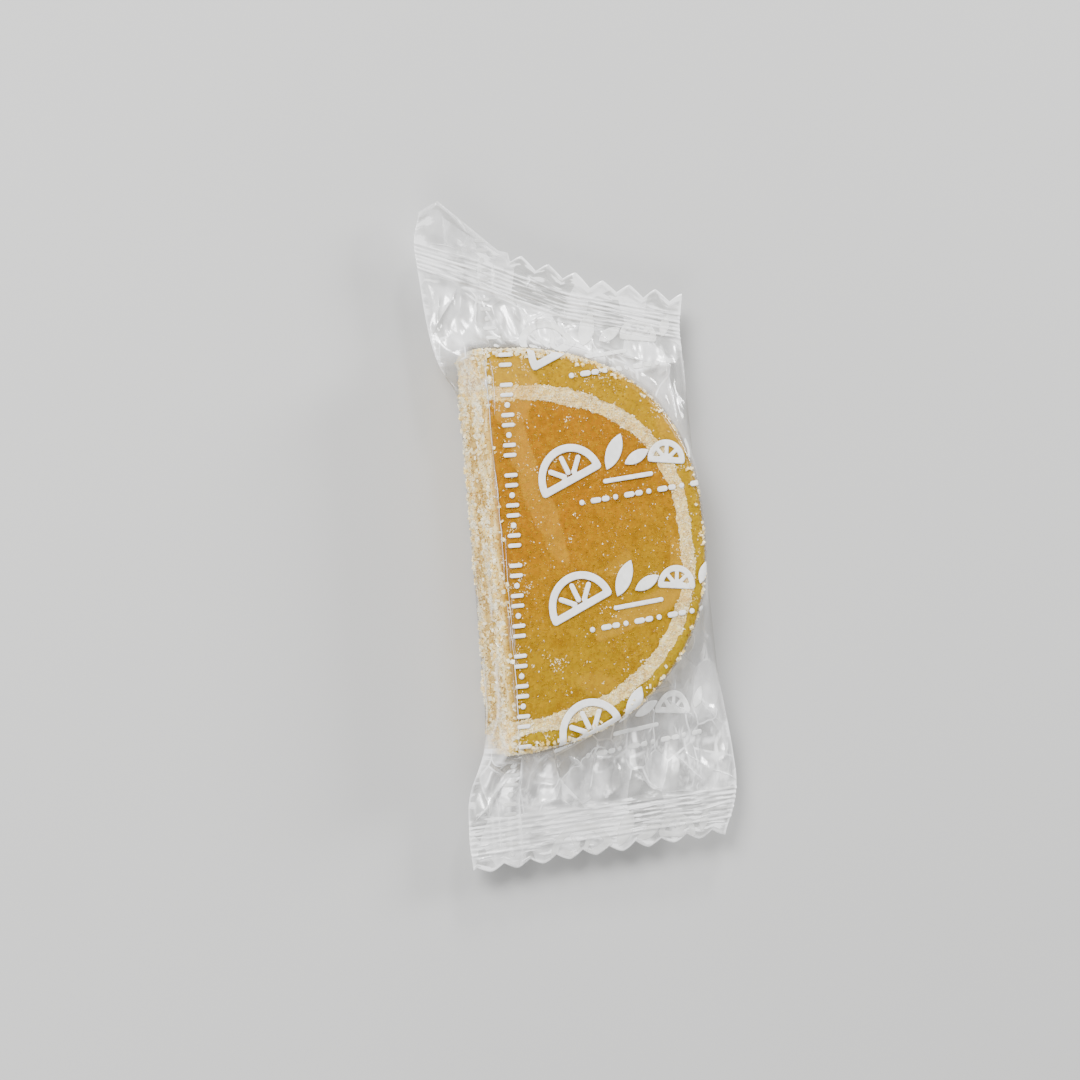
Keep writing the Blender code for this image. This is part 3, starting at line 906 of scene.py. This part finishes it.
def crease_strips(tree, material):
    """The film's sharpest creases: narrow raised strips along its folds, which catch the light."""
    folds = list(TOP_FOLDS) + list(small_folds(FOLD_SEED))
    lines = [(*line[:4], 0.34 * line[5], line[6]) for line in folds] + list(BRIGHT_LINES)
    points, faces, gleam = [], [], []
    count = 0
    for number, (x0, y0, x1, y1, width, brightness) in enumerate(lines):
        if brightness < CREASE_LEAST_BRIGHTNESS:
            continue
        start, end = np.array([x0, y0]) * MM, np.array([x1, y1]) * MM
        length = np.linalg.norm(end - start)
        side = np.array([start[1] - end[1], end[0] - start[0]]) / length
        walk = np.linspace(0.0, 1.0, max(5, int(length / CREASE_STEP)))[:, None]
        arch = 4.0 * walk * (1.0 - walk)
        middle = start + (end - start) * walk
        bow = CREASE_BOW * min(length, CREASE_BENDS_TO) * chance(np.array([[number]]), 91) * arch
        sway = CREASE_WANDER * lumps(middle, 0.8 * MM, 92)[:, None] * arch
        middle = middle + side * (bow + sway)
        widest = min(0.8 * width * MM, CREASE_WIDEST)
        half = 0.5 * widest * np.sqrt(np.maximum(arch, 0.02))
        half = half * (0.75 + 0.45 * lumps(middle, 0.9 * MM, 93)[:, None])
        flat = np.stack([middle - side * half, middle, middle + side * half, middle], axis=1)
        laid = lay_on(tree, flat.reshape(-1, 2), True).reshape(-1, 4, 3)
        if np.isnan(laid).any():
            continue
        laid[:, 1, 2] += CREASE_HEIGHT * arch[:, 0]
        laid[:, 3, 2] -= PRINT_LIFT + CREASE_HEIGHT
        ring = np.arange(laid.shape[0] * 4).reshape(-1, 4) + count
        faces += [grid_faces(np.concatenate([ring, ring[:, :1]], axis=1)), ring[:1], ring[-1:]]
        points.append(laid.reshape(-1, 3))
        gleam.append(np.repeat(brightness * (0.35 + 0.65 * arch[:, 0]), 4))
        count += laid.shape[0] * 4
    creases = mesh_object("film_creases", np.concatenate(points), np.concatenate(faces), material)
    gleam = np.concatenate(gleam)
    set_amounts(creases.data, dict.fromkeys(FILM_AMOUNTS, 0.0) | {"milky": 0.25, "gleam": gleam})
    return creases


def film_finish():
    """Clear film: see-through where it lies close, milky where it is loose, bright on its folds."""
    film = Finish("clear_film")
    # The milkiness read here also holds painted light and shade on the film's facets.
    milky, gleam, haze_and_painted_light, seal, across = [
        film.node("ShaderNodeAttribute", {"attribute_name": name}, out="Fac")
        for name in FILM_AMOUNTS
    ]
    streaks = film.noise(2.4 * MM, 3.0, (1.0, 0.5, 1.0))
    fine = film.noise(0.5 * MM, 3.0)
    brushing = film.node("ShaderNodeCombineXYZ", values={0: film.along("X") * 0.12, 1: across})
    brushed = film.noise(0.34 * MM, 3.0, place=brushing)
    slant = (1.0, 0.62, 1.0)
    facets = film.cells(FACET_SIZE, "Color", slant)
    creases = film.cells(FACET_SIZE, "Distance", slant, "DISTANCE_TO_EDGE")
    creases = film.step(creases, 0.026, 0.008)
    creases = creases * film.step(film.noise(4.0 * MM), 0.44, 0.56) * film.step(milky, 0.15, 0.35)
    # Painted highlights: thin bright lines along the edges of the film's creases and along its seal
    # ribs.
    lines = 0.78 * creases * (1.0 - seal) + 0.80 * seal * film.step(brushed, 0.53, 0.63)
    facing = film.node("ShaderNodeLayerWeight", values={"Blend": 0.5}, out="Facing")
    bright = (gleam * (0.65 + 0.7 * fine) + lines).limited()
    uneven = 0.52 + 0.34 * streaks + 0.30 * facets + 1.2 * seal * (brushed - 0.45)
    share = 0.05 + milky * uneven + 0.82 * bright + 0.15 * haze_and_painted_light + 0.36 * facing ** 3.0
    tone = film.step(0.5 * streaks + 0.5 * facets + 0.5 * seal * (brushed - 0.5), 0.32, 0.62)
    colour = film.blend(tone, srgb(192, 192, 190), srgb(248, 248, 248))
    colour = film.blend(film.step(milky, 0.02, 0.05), (0.10, 0.08, 0.04), colour)
    # Painted light: an amber glow and reflection where the film is hazy over the jelly and beside
    # its rim.
    colour = film.blend(film.step(haze_and_painted_light, 0.05, 0.50), colour, (0.80, 0.46, 0.05))
    colour = film.blend(film.step(bright, 0.02, 0.45), colour, (0.93, 0.93, 0.93))
    relief = film.bump(streaks + 0.25 * fine + 0.5 * seal * brushed, 0.08 * MM, 0.5)
    roughness = 0.10 + 0.18 * milky
    skin = film.painted(Base_Color=colour, Roughness=roughness, IOR=FILM_SHINE, Normal=relief)
    return film.finish_clear(share, skin)


# Slab


def slab_curve(half_length, depth, middle, ragged, seed):
    """A D-shaped outline as a function of the angle from the depth direction."""

    def curve(angle):
        power = roundness(np.tanh(3.0 * np.sin(angle)))
        across = (np.maximum(np.cos(angle), 0.0) / depth) ** power
        lengthwise = (np.abs(np.sin(angle)) / half_length) ** power
        radius = (across + lengthwise) ** (-1.0 / power)
        walk = angle[:, None] * depth
        radius = radius + 1.3 * ragged * lumps(walk, 0.45 * MM, seed)
        radius = radius + 1.8 * ragged * lumps(walk, 1.6 * MM, seed + 1)
        x = np.maximum(np.cos(angle), 0.0) * radius
        return np.stack([x, middle + np.sin(angle) * radius], axis=-1)

    return curve


def cut_line(half_length, middle):
    """The straight cut side, as a function of the same angle."""

    def curve(angle):
        along_cut = middle + half_length * angle / (0.5 * pi)
        return np.stack([np.zeros_like(along_cut), along_cut], axis=-1)

    return curve


def slab_heights(flat):
    """Top and underside of the slab, rounded towards its outline."""
    inside = np.clip(-slab_distance(flat[..., 0], flat[..., 1]) - SLAB_INSET, 0.0, SLAB_EDGE)
    drop = SLAB_EDGE - np.sqrt(SLAB_EDGE ** 2 - (SLAB_EDGE - inside) ** 2)
    return SLAB_TOP - drop, SLAB_BOTTOM + drop


def slab_layer(name, inner, outer, counts, relief, material, open_inside=False):
    """One layer of the slab, swept from end to end of the cut side, as a closed solid."""
    stations, across, levels = counts
    walk = np.linspace(0.0, 1.0, stations + 1)
    eased = 0.6 * walk + 0.4 * (0.5 - 0.5 * np.cos(pi * walk))
    angle = (eased - 0.5) * pi
    width = np.linspace(0.0, 1.0, across + 1)
    width = 0.45 * width + 0.55 * (0.5 - 0.5 * np.cos(pi * width))
    inner_line, outer_line = inner(angle), outer(angle)
    flat = inner_line[:, None] + (outer_line - inner_line)[:, None] * width[None, :, None]
    if not open_inside:
        flat[0, :, 0] = 0.0
        flat[-1, :, 0] = 0.0
    flat[..., 0] += SLAB_INSET
    high, low = slab_heights(flat)
    level = np.linspace(0.0, 1.0, levels + 1)
    height = low[..., None] + (high - low)[..., None] * level
    block = np.concatenate([
        np.repeat(flat[:, :, None], levels + 1, axis=2), height[..., None],
    ], axis=-1)
    number = np.arange(block[..., 0].size).reshape(block.shape[:3])
    sides = (
        number[:, :, -1], number[:, :, 0], number[:, 0, :],
        number[:, -1, :], number[0], number[-1],
    )
    faces = np.concatenate([grid_faces(side) for side in sides])
    used, index = np.unique(faces, return_inverse=True)
    points = block.reshape(-1, 3)[used]
    layer = mesh_object(name, points, index.reshape(faces.shape), material)

    depth_in = -slab_distance(points[:, 0], points[:, 1]) - SLAB_INSET
    top_now, low_now = slab_heights(points[:, :2])
    on_face = (points[:, 2] > top_now - 1e-7) | (points[:, 2] < low_now + 1e-7)
    bare = (on_face | (depth_in < 0.05 * MM)).astype(float)
    normals = np.zeros(len(points) * 3)
    layer.data.vertex_normals.foreach_get("vector", normals)
    height = sum(rise * lumps(points, size, number) for number, (size, rise) in enumerate(relief))
    on_cut = points[:, 0] < SLAB_INSET + 0.02 * MM
    low_edge = bell(points[:, 2], 0.9 * MM, 1.3 * MM)
    crust = np.clip(lumps(points, 0.75 * MM, 66) + 0.25, 0.0, 1.0)
    height = height * (1.0 + 1.8 * on_cut) + (0.10 + 0.36 * low_edge) * MM * crust * on_cut
    moved = points + normals.reshape(-1, 3) * (height * bare)[:, None] + PLACE
    layer.data.vertices.foreach_set("co", moved.ravel())
    layer.data.update()
    set_amounts(layer.data, {
        "coarse": coarse_sugar(points) * bare, "fine": fine_sugar(points) * bare,
        "grains": grain_cover(points) * bare,
    })
    return layer


def coarse_sugar(points):
    """How thickly large crystals lie: on the cut side in two bands, and round the rim."""
    x, y, z = points.T
    on_cut = 1.0 - smooth_step(x, 0.3 * MM, 1.1 * MM)
    level = z + 0.7 * MM * lumps(points[:, 1:2], 4.0 * MM, 64)
    bands = sum(bell(level, middle, half, 4) for middle, half in SUGAR_BANDS)
    patchy = 0.58 + 1.0 * lumps(points, 2.2 * MM, 61) + 0.8 * lumps(points, 0.9 * MM, 63)
    ends = smooth_step(np.abs(y), 20.0 * MM, 24.5 * MM)
    cut = on_cut * np.clip(bands * patchy + 0.5 * ends, 0.03, 1.0)
    rim_depth = -slab_distance(x, y) - SLAB_INSET
    on_rim = (1.0 - smooth_step(rim_depth, 0.15 * MM, 1.3 * MM)) * (1.0 - on_cut)
    thick = 0.10 + 0.45 * smooth_step(np.abs(y), 17.0 * MM, 23.0 * MM)
    return cut + on_rim * np.clip(thick + 0.35 * lumps(points, 2.8 * MM, 62), 0.02, 1.0)


def fine_sugar(points):
    """How thickly fine crystals lie on the broad faces: in drifts, more on the rind."""
    x, y, _ = points.T
    drifts = smooth_step(lumps(points, 3.4 * MM, 71), -0.2, 0.7)
    clusters = lumps(points, 0.9 * MM, 72) + 0.5 * lumps(points, 0.45 * MM, 73)
    clusters = smooth_step(clusters, 0.30, 0.90)
    rim_depth = -slab_distance(x, y)
    on_rind = 1.0 - smooth_step(rim_depth, 1.5 * MM, 5.0 * MM)
    left = 1.0 - smooth_step(x, 0.5 * MM, 3.5 * MM)
    spread = 0.10 + 0.90 * drifts + 0.35 * on_rind + 0.5 * left
    return np.clip(0.012 + 1.1 * clusters * spread, 0.0, 1.0)


def grain_cover(points):
    """How thickly the small half-clear grains lie, nearly everywhere on the broad faces."""
    uneven = 0.45 * lumps(points, 2.0 * MM, 75) + 0.25 * lumps(points, 0.8 * MM, 76)
    return np.clip(0.75 + uneven, 0.1, 1.0)


def jelly_finish(name, low_colour, high_colour, pale, deep, patchy, grain, roughness):
    """Jelly with a colour that changes along the slab, mottling and a crusted cut side."""
    jelly = Finish(name)
    uphill = jelly.along("Y") - 0.45 * (jelly.along("X") - 12.0 * MM)
    uphill = jelly.step(uphill, -16.0 * MM, 8.0 * MM)
    clouds = jelly.noise(5.5 * MM, 3.0)
    mottle = jelly.noise(1.9 * MM, 4.0, roughness=0.58)
    specks = jelly.cells(0.42 * MM)
    mosaic = jelly.cells(0.38 * MM, "Color")
    base = jelly.blend((uphill + 0.9 * (clouds - 0.5)).limited(), low_colour, high_colour)
    dark = jelly.step(mottle, 0.52, 0.30)
    light = jelly.step(mottle, 0.55, 0.78)
    colour = jelly.blend(0.55 * dark, base, deep)
    colour = jelly.blend(0.40 * light, colour, pale)
    colour = jelly.blend(patchy * jelly.step(mosaic, 0.58, 0.85), colour, pale)
    colour = jelly.blend(patchy * jelly.step(mosaic, 0.42, 0.18), colour, deep)
    glints = jelly.step(specks, 0.20, 0.06) * jelly.step(jelly.noise(1.8 * MM), 0.50, 0.64)
    colour = jelly.blend(0.45 * glints, colour, srgb(250, 236, 190))
    crust = jelly.step(jelly.along("X") + 0.5 * MM * mottle, 1.15 * MM, 0.45 * MM)
    levels = jelly.along("Z") / (1.0 * MM) + 2.0 * (clouds - 0.5)
    bands = jelly.step(levels, 4.9, 5.6) * jelly.step(levels, 9.5, 8.9)
    bands = bands + jelly.step(levels, 3.6, 2.9)
    patch = jelly.step(jelly.noise(1.1 * MM, 3.0, (1.0, 0.45, 1.0)), 0.44, 0.58)
    white = crust * (0.08 + 0.70 * bands * patch).limited()
    honey = jelly.blend(0.8, colour, (0.76, 0.50, 0.11))
    colour = jelly.blend(crust * 0.9, colour, honey)
    colour = jelly.blend(white, colour, (0.92, 0.78, 0.44))
    relief = jelly.noise(grain, 3.0) + 0.5 * mottle
    return jelly.finish(jelly.painted(
        Base_Color=colour, Roughness=roughness + 0.25 * white, IOR=1.22,
        Subsurface_Weight=0.10, Subsurface_Radius=(1.0, 0.45, 0.12),
        Subsurface_Scale=1.6 * MM, Normal=jelly.bump(relief, 0.10 * MM, 0.6)))


def sugar_finish(name, light, dark, see_into):
    """Sugar between a light and a dark colour, which light enters as far as it says."""
    sugar = Finish(name)
    tone = sugar.step(sugar.noise(0.9 * MM, 2.0), 0.35, 0.65)
    colour = sugar.blend(tone, light, dark)
    return sugar.finish(sugar.painted(
        Base_Color=colour, Roughness=0.18 + 0.2 * tone, IOR=1.36 + 0.5 * see_into,
        Subsurface_Weight=see_into, Subsurface_Radius=(1.0, 0.9, 0.7),
        Subsurface_Scale=0.5 * MM))


def crystal_scatter(name, cover, blocks, material):
    """A node group that strews crystals over a surface, as thickly as its cover says."""
    group = bpy.data.node_groups.new(name, "GeometryNodeTree")
    kit = Kit(group)
    sockets = (
        ("Surface", "NodeSocketGeometry"), ("Most per square metre", "NodeSocketFloat"),
        ("Smallest", "NodeSocketFloat"), ("Largest", "NodeSocketFloat"), ("Seed", "NodeSocketInt"),
    )
    for label, kind in sockets:
        group.interface.new_socket(label, in_out="INPUT", socket_type=kind)
    group.interface.new_socket("Crystals", in_out="OUTPUT", socket_type="NodeSocketGeometry")
    given = kit.node("NodeGroupInput")
    amount = kit.node("GeometryNodeInputNamedAttribute", {"data_type": "FLOAT"}, {"Name": cover})
    points = kit.node("GeometryNodeDistributePointsOnFaces", values={
        "Mesh": given, "Density": amount * given.other("Most per square metre"),
        "Seed": given.other("Seed"),
    })
    turn = kit.node("FunctionNodeRandomValue", {"data_type": "FLOAT_VECTOR"}, {
        1: (tau, tau, tau), "Seed": 5,
    })
    sizes = [kit.node("FunctionNodeRandomValue", {"data_type": "FLOAT"}, {
        2: given.other("Smallest"), 3: given.other("Largest"), "Seed": seed,
    }, out=1) for seed in (6, 7, 8)]
    scale = kit.node("ShaderNodeCombineXYZ", values=dict(enumerate(sizes)))
    if blocks:
        block = kit.node("GeometryNodeMeshCube", values={"Size": (1.0, 1.0, 1.0)})
    else:
        block = kit.node("GeometryNodeMeshCone", {"fill_type": "NGON"}, {
            "Vertices": 3, "Radius Top": 0.0, "Radius Bottom": 0.62, "Depth": 0.9,
        })
    crystals = kit.node("GeometryNodeInstanceOnPoints", values={
        "Points": points, "Instance": block, "Rotation": turn, "Scale": scale,
    })
    solid = kit.node("GeometryNodeRealizeInstances", values={"Geometry": crystals})
    painted = kit.node("GeometryNodeSetMaterial", values={"Geometry": solid, "Material": material})
    kit.node("NodeGroupOutput", values={"Crystals": painted})
    return group


def strew(name, layers, cover, blocks, material, inputs):
    """Crystals over all layers, as one plain mesh."""
    group = crystal_scatter(name + "_scatter", cover, blocks, material)
    shape = bmesh.new()
    for layer in layers:
        shape.from_mesh(layer.data)
    surface = bpy.data.meshes.new(name + "_surface")
    shape.to_mesh(surface)
    shape.free()
    carrier = placed(name + "_surface", surface)
    modifier = carrier.modifiers.new(name, "NODES")
    modifier.node_group = group
    for socket in group.interface.items_tree:
        if socket.in_out == "INPUT" and socket.name in inputs:
            modifier[socket.identifier] = inputs[socket.name]
    ready = carrier.evaluated_get(bpy.context.evaluated_depsgraph_get())
    mesh = bpy.data.meshes.new_from_object(ready)
    mesh.name = name
    carrier.modifiers.remove(modifier)
    bpy.data.objects.remove(carrier, do_unlink=True)
    mesh.materials.clear()
    mesh.materials.append(material)
    for amount in list(mesh.attributes):
        if amount.name in ("coarse", "fine", "grains"):
            mesh.attributes.remove(amount)
    return placed(name, mesh)


# Print


def bar(x, y, x0, y0, x1, y1, radius):
    """Distance to a round-ended bar, in mm, negative inside."""
    return segment(x, y, x0, y0, x1, y1)[1] - radius


def half_wheel(x, y, middle_x, middle_y, radius, line, turn):
    """Distance to a drawn half wheel with three spokes."""
    ahead, side = turned(x - middle_x, y - middle_y, turn)
    ring = np.abs(np.hypot(ahead, side) - radius) - 0.5 * line
    ring = np.maximum(ring, -side)
    parts = [ring, bar(ahead, side, -radius, 0.0, radius, 0.0, 0.5 * line)]
    for angle in (45.0, 90.0, 135.0):
        reach = 0.74 * radius
        tip_x, tip_y = reach * cos(radians(angle)), reach * sin(radians(angle))
        parts.append(bar(ahead, side, 0.34 * tip_x, 0.34 * tip_y, tip_x, tip_y, 0.34 * line))
    return np.minimum.reduce(parts)


def leaf(x, y, middle_x, middle_y, length, turn):
    """Distance to a leaf: the overlap of two circles."""
    ahead, side = turned(x - middle_x, y - middle_y, turn)
    radius = 0.72 * length
    offset = np.sqrt(radius ** 2 - (0.5 * length) ** 2)
    return np.maximum(np.hypot(ahead, side - offset), np.hypot(ahead, side + offset)) - radius


def motif(x, y):
    """One repeat of the print: a half wheel, leaves, drops and a row of small bars."""
    parts = [
        half_wheel(x, y, 4.3, 1.8, 4.0, 0.95, radians(18.0)),
        leaf(x, y, 10.6, 4.4, 5.0, radians(58.0)),
        leaf(x, y, 13.6, 3.3, 3.8, radians(20.0)),
        half_wheel(x, y, 17.6, 2.3, 2.2, 0.75, radians(-12.0)),
        leaf(x, y, 21.6, 3.3, 3.0, radians(62.0)),
        bar(x, y, 8.8, 0.9, 15.2, 0.9, 0.28),
    ]
    for number in range(11):
        start = 5.2 + 1.55 * number
        length = (0.0, 0.75, 0.35)[number % 3]
        parts.append(bar(x, y, start, -1.25, start + length + 0.01, -1.25, 0.34))
    return np.minimum.reduce(parts)


def print_distance(x, y, shift):
    """Distance to the nearest printed shape on the film, in mm."""
    parts = []
    for number in MOTIFS:
        low = MOTIF_LOW + shift - MOTIF_PITCH * number
        parts.append(motif(*turned(x - MOTIF_LEFT, y - low, MOTIF_RISE)))
    line_x = COLUMN_LEFT + COLUMN_SLOPE * y
    place = y / COLUMN_PITCH
    count = np.floor(place)
    beside = (place - count - 0.5) * COLUMN_PITCH
    long_bar = bar(x - line_x, beside, -0.62, 0.0, 0.62, 0.0, 0.25)
    dot = np.hypot(x - line_x, beside) - 0.36
    kind = np.mod(count, 9.0)
    column = np.where(np.mod(kind, 3.0) == 2.0, dot, long_bar)
    parts.append(np.where(kind == 8.0, 9.0, column))
    return np.minimum.reduce(parts)


def print_patches(name, tree, material, upper, shift=0.0):
    """The print as thin white patches that lie on the film."""
    x, y = np.meshgrid(*(np.arange(*ends, PRINT_CELL) for ends in PRINT_FIELD))
    far = print_distance(x / MM, y / MM, shift) * MM
    kept = grid_faces(np.arange(x.size).reshape(x.shape))
    kept = kept[far.ravel()[kept].mean(axis=1) < 0.0]
    slope_y, slope_x = np.gradient(far, PRINT_CELL)
    pull = np.clip(far, 0.0, PRINT_CELL)
    rim = np.bincount(kept.ravel(), minlength=x.size).reshape(x.shape) < 4
    pull = np.where(rim, np.clip(far, -0.7 * PRINT_CELL, 0.7 * PRINT_CELL), pull)
    x = x - pull * slope_x
    y = y - pull * slope_y
    used, index = np.unique(kept, return_inverse=True)
    kept = index.reshape(kept.shape)
    flat = np.stack([x.ravel()[used], y.ravel()[used]], axis=-1)

    places = lay_on(tree, flat, upper)
    kept = kept[np.isfinite(places[kept]).all(axis=(1, 2))]
    # Print that would hang down the slab's steep wall is left out.
    kept = kept[np.ptp(places[kept][..., 2], axis=1) < PRINT_STEEPEST * PRINT_CELL]
    used, index = np.unique(kept, return_inverse=True)
    places, kept = places[used], index.reshape(kept.shape)
    back = places - np.array([0.0, 0.0, PRINT_THICKNESS if upper else -PRINT_THICKNESS])
    edges = np.concatenate([kept[:, [a, (a + 1) % 4]] for a in range(4)])
    keys = {(int(a), int(b)) for a, b in edges}
    rim = np.array([(a, b) for a, b in keys if (b, a) not in keys])
    wall = np.concatenate([rim[:, ::-1], rim + len(places)], axis=1)
    faces = np.concatenate([kept, kept[:, ::-1] + len(places), wall])
    return mesh_object(name, np.concatenate([places, back]), faces, material)


def print_finish():
    """White ink, worn a little, fainter on the flaps and the seals."""
    ink = Finish("white_print")
    wear = ink.noise(0.8 * MM, 3.0)
    colour = ink.blend(ink.step(wear, 0.35, 0.65), srgb(226, 226, 223), srgb(240, 240, 239))
    from_middle = ink.sum("ABSOLUTE", ink.along("Y"), 0.0)
    on_flap = ink.step(from_middle, 26.5 * MM, 31.0 * MM)
    on_seal = ink.step(from_middle, 31.5 * MM, 35.0 * MM)
    share = 0.97 - 0.10 * wear - 0.20 * on_flap - 0.38 * on_seal
    relief = ink.bump(wear, 0.03 * MM, 0.4)
    white = ink.painted(Base_Color=colour, Roughness=0.38 + 0.12 * wear, Normal=relief)
    return ink.finish_clear(share, white)


# Setting


def floor_finish():
    """A plain pale floor."""
    floor = Finish("pale_floor")
    tone = floor.noise(0.06, 3.0)
    colour = floor.blend(tone, (0.44, 0.44, 0.435), (0.47, 0.47, 0.465))
    return floor.finish(floor.painted(Base_Color=colour, Roughness=0.6 + 0.1 * tone))


def setting():
    """The floor, the light of the room and the lamps."""
    mesh = bpy.data.meshes.new("floor")
    signs = ((-1.0, -1.0), (1.0, -1.0), (1.0, 1.0), (-1.0, 1.0))
    corners = [(a * FLOOR_REACH, b * FLOOR_REACH, 0.0) for a, b in signs]
    mesh.from_pydata(corners, [], [(0, 1, 2, 3)])
    mesh.materials.append(floor_finish())
    floor = placed("floor", mesh)
    floor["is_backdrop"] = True

    world = bpy.data.worlds.new("studio")
    world.use_nodes = True
    room = world.node_tree.nodes["Background"].inputs
    room["Color"].default_value = (1.0, 1.0, 1.0, 1.0)
    room["Strength"].default_value = ROOM_BRIGHTNESS
    bpy.context.scene.world = world
    for name, (place, size, power) in LIGHTS.items():
        soft_light(name, place, size, power)


def soft_light(name, place, size, power):
    """A square lamp that faces the pack."""
    light = bpy.data.lights.new(name, "AREA")
    light.shape = "SQUARE"
    light.size = size
    light.energy = power
    lamp = placed(name, light)
    lamp.location = place
    lamp.rotation_euler = (-Vector(place)).to_track_quat("-Z", "Y").to_euler()


def camera():
    """The camera, leaning towards the cut side."""
    across = Vector((cos(LEAN), 0.0, sin(LEAN)))
    lengthwise = Vector((0.0, 1.0, 0.0))
    right = ROLL_RIGHT * across - ROLL_UP * lengthwise
    up = ROLL_UP * across + ROLL_RIGHT * lengthwise
    back = right.cross(up)
    aim = Vector(AIM) + Vector(PLACE)
    lens = bpy.data.cameras.new("camera")
    lens.lens = LENS_MM
    lens.sensor_width = SENSOR_MM
    eye = placed("camera", lens)
    stance = Matrix((right, up, back)).transposed().to_4x4()
    eye.matrix_world = Matrix.Translation(aim + back.normalized() * CAMERA_DISTANCE) @ stance
    bpy.context.scene.camera = eye


def pack():
    """Every piece of the wrapped slice, grouped by slot and put on the body."""
    depth = SLAB_DEPTH - 2.0 * SLAB_INSET
    rind_line = slab_curve(SLAB_HALF_LENGTH - SLAB_INSET, depth, 0.0, 0.0, 1)
    pith_line = slab_curve(PITH_HALF_LENGTH, PITH_DEPTH, PITH_MIDDLE, 0.10 * MM, 2)
    flesh_line = slab_curve(FLESH_HALF_LENGTH, FLESH_DEPTH, FLESH_MIDDLE, 0.10 * MM, 4)
    flesh_cut = cut_line(FLESH_HALF_LENGTH * 0.985, FLESH_MIDDLE)
    jellies = [jelly_finish(name, *looks) for name, looks in JELLIES.items()]
    forms = (
        ("rind", pith_line, rind_line, (270, 18, 30), SMOOTH_RELIEF, False),
        ("pith", flesh_line, pith_line, (270, 11, 24), ROUGH_RELIEF, False),
        ("flesh", flesh_cut, flesh_line, (260, 92, 34), SMOOTH_RELIEF, True),
    )
    layers = {}
    for (name, *form, open_inside), jelly in zip(forms, jellies):
        layers[name] = slab_layer(name, *form, jelly, open_inside)
    rind, pith, flesh = layers.values()
    sugars = []
    for name, (on, cover, blocks, finish, light, dark, see_into, *inputs) in SUGARS.items():
        sugar = sugar_finish(finish, light, dark, see_into)
        surfaces = [layers[layer] for layer in on]
        sugars.append(strew(name, surfaces, cover, blocks, sugar, dict(zip(SUGAR_INPUTS, inputs))))

    clear_film = film_finish()
    top, bottom, amounts = film_sheets()
    film = closed_sheets("film", top, bottom, clear_film)
    set_amounts(film.data, amounts)
    fin = fin_seal(bottom, clear_film)
    tree = search_tree(film)
    creases = crease_strips(tree, clear_film)
    ink = print_finish()
    front = print_patches("print_front", tree, ink, True)
    back = print_patches("print_back", tree, ink, False, BACK_PRINT_SHIFT)

    slots = {
        "clear_film": (film, fin, creases), "white_print": (front, back), "rind_jelly": (rind,),
        "pith_jelly": (pith,), "flesh_jelly": (flesh,), "sugar": sugars,
    }
    for slot, pieces in slots.items():
        for piece in pieces:
            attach(piece, "root")
    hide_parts(NODE)
    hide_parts(NODE)


pack()
setting()
camera()
sizes = {"cad": [list(map(float, corner)) for corner in (cad_low, cad_high)]}
sizes["visual"] = [list(map(float, corner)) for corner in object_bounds()]
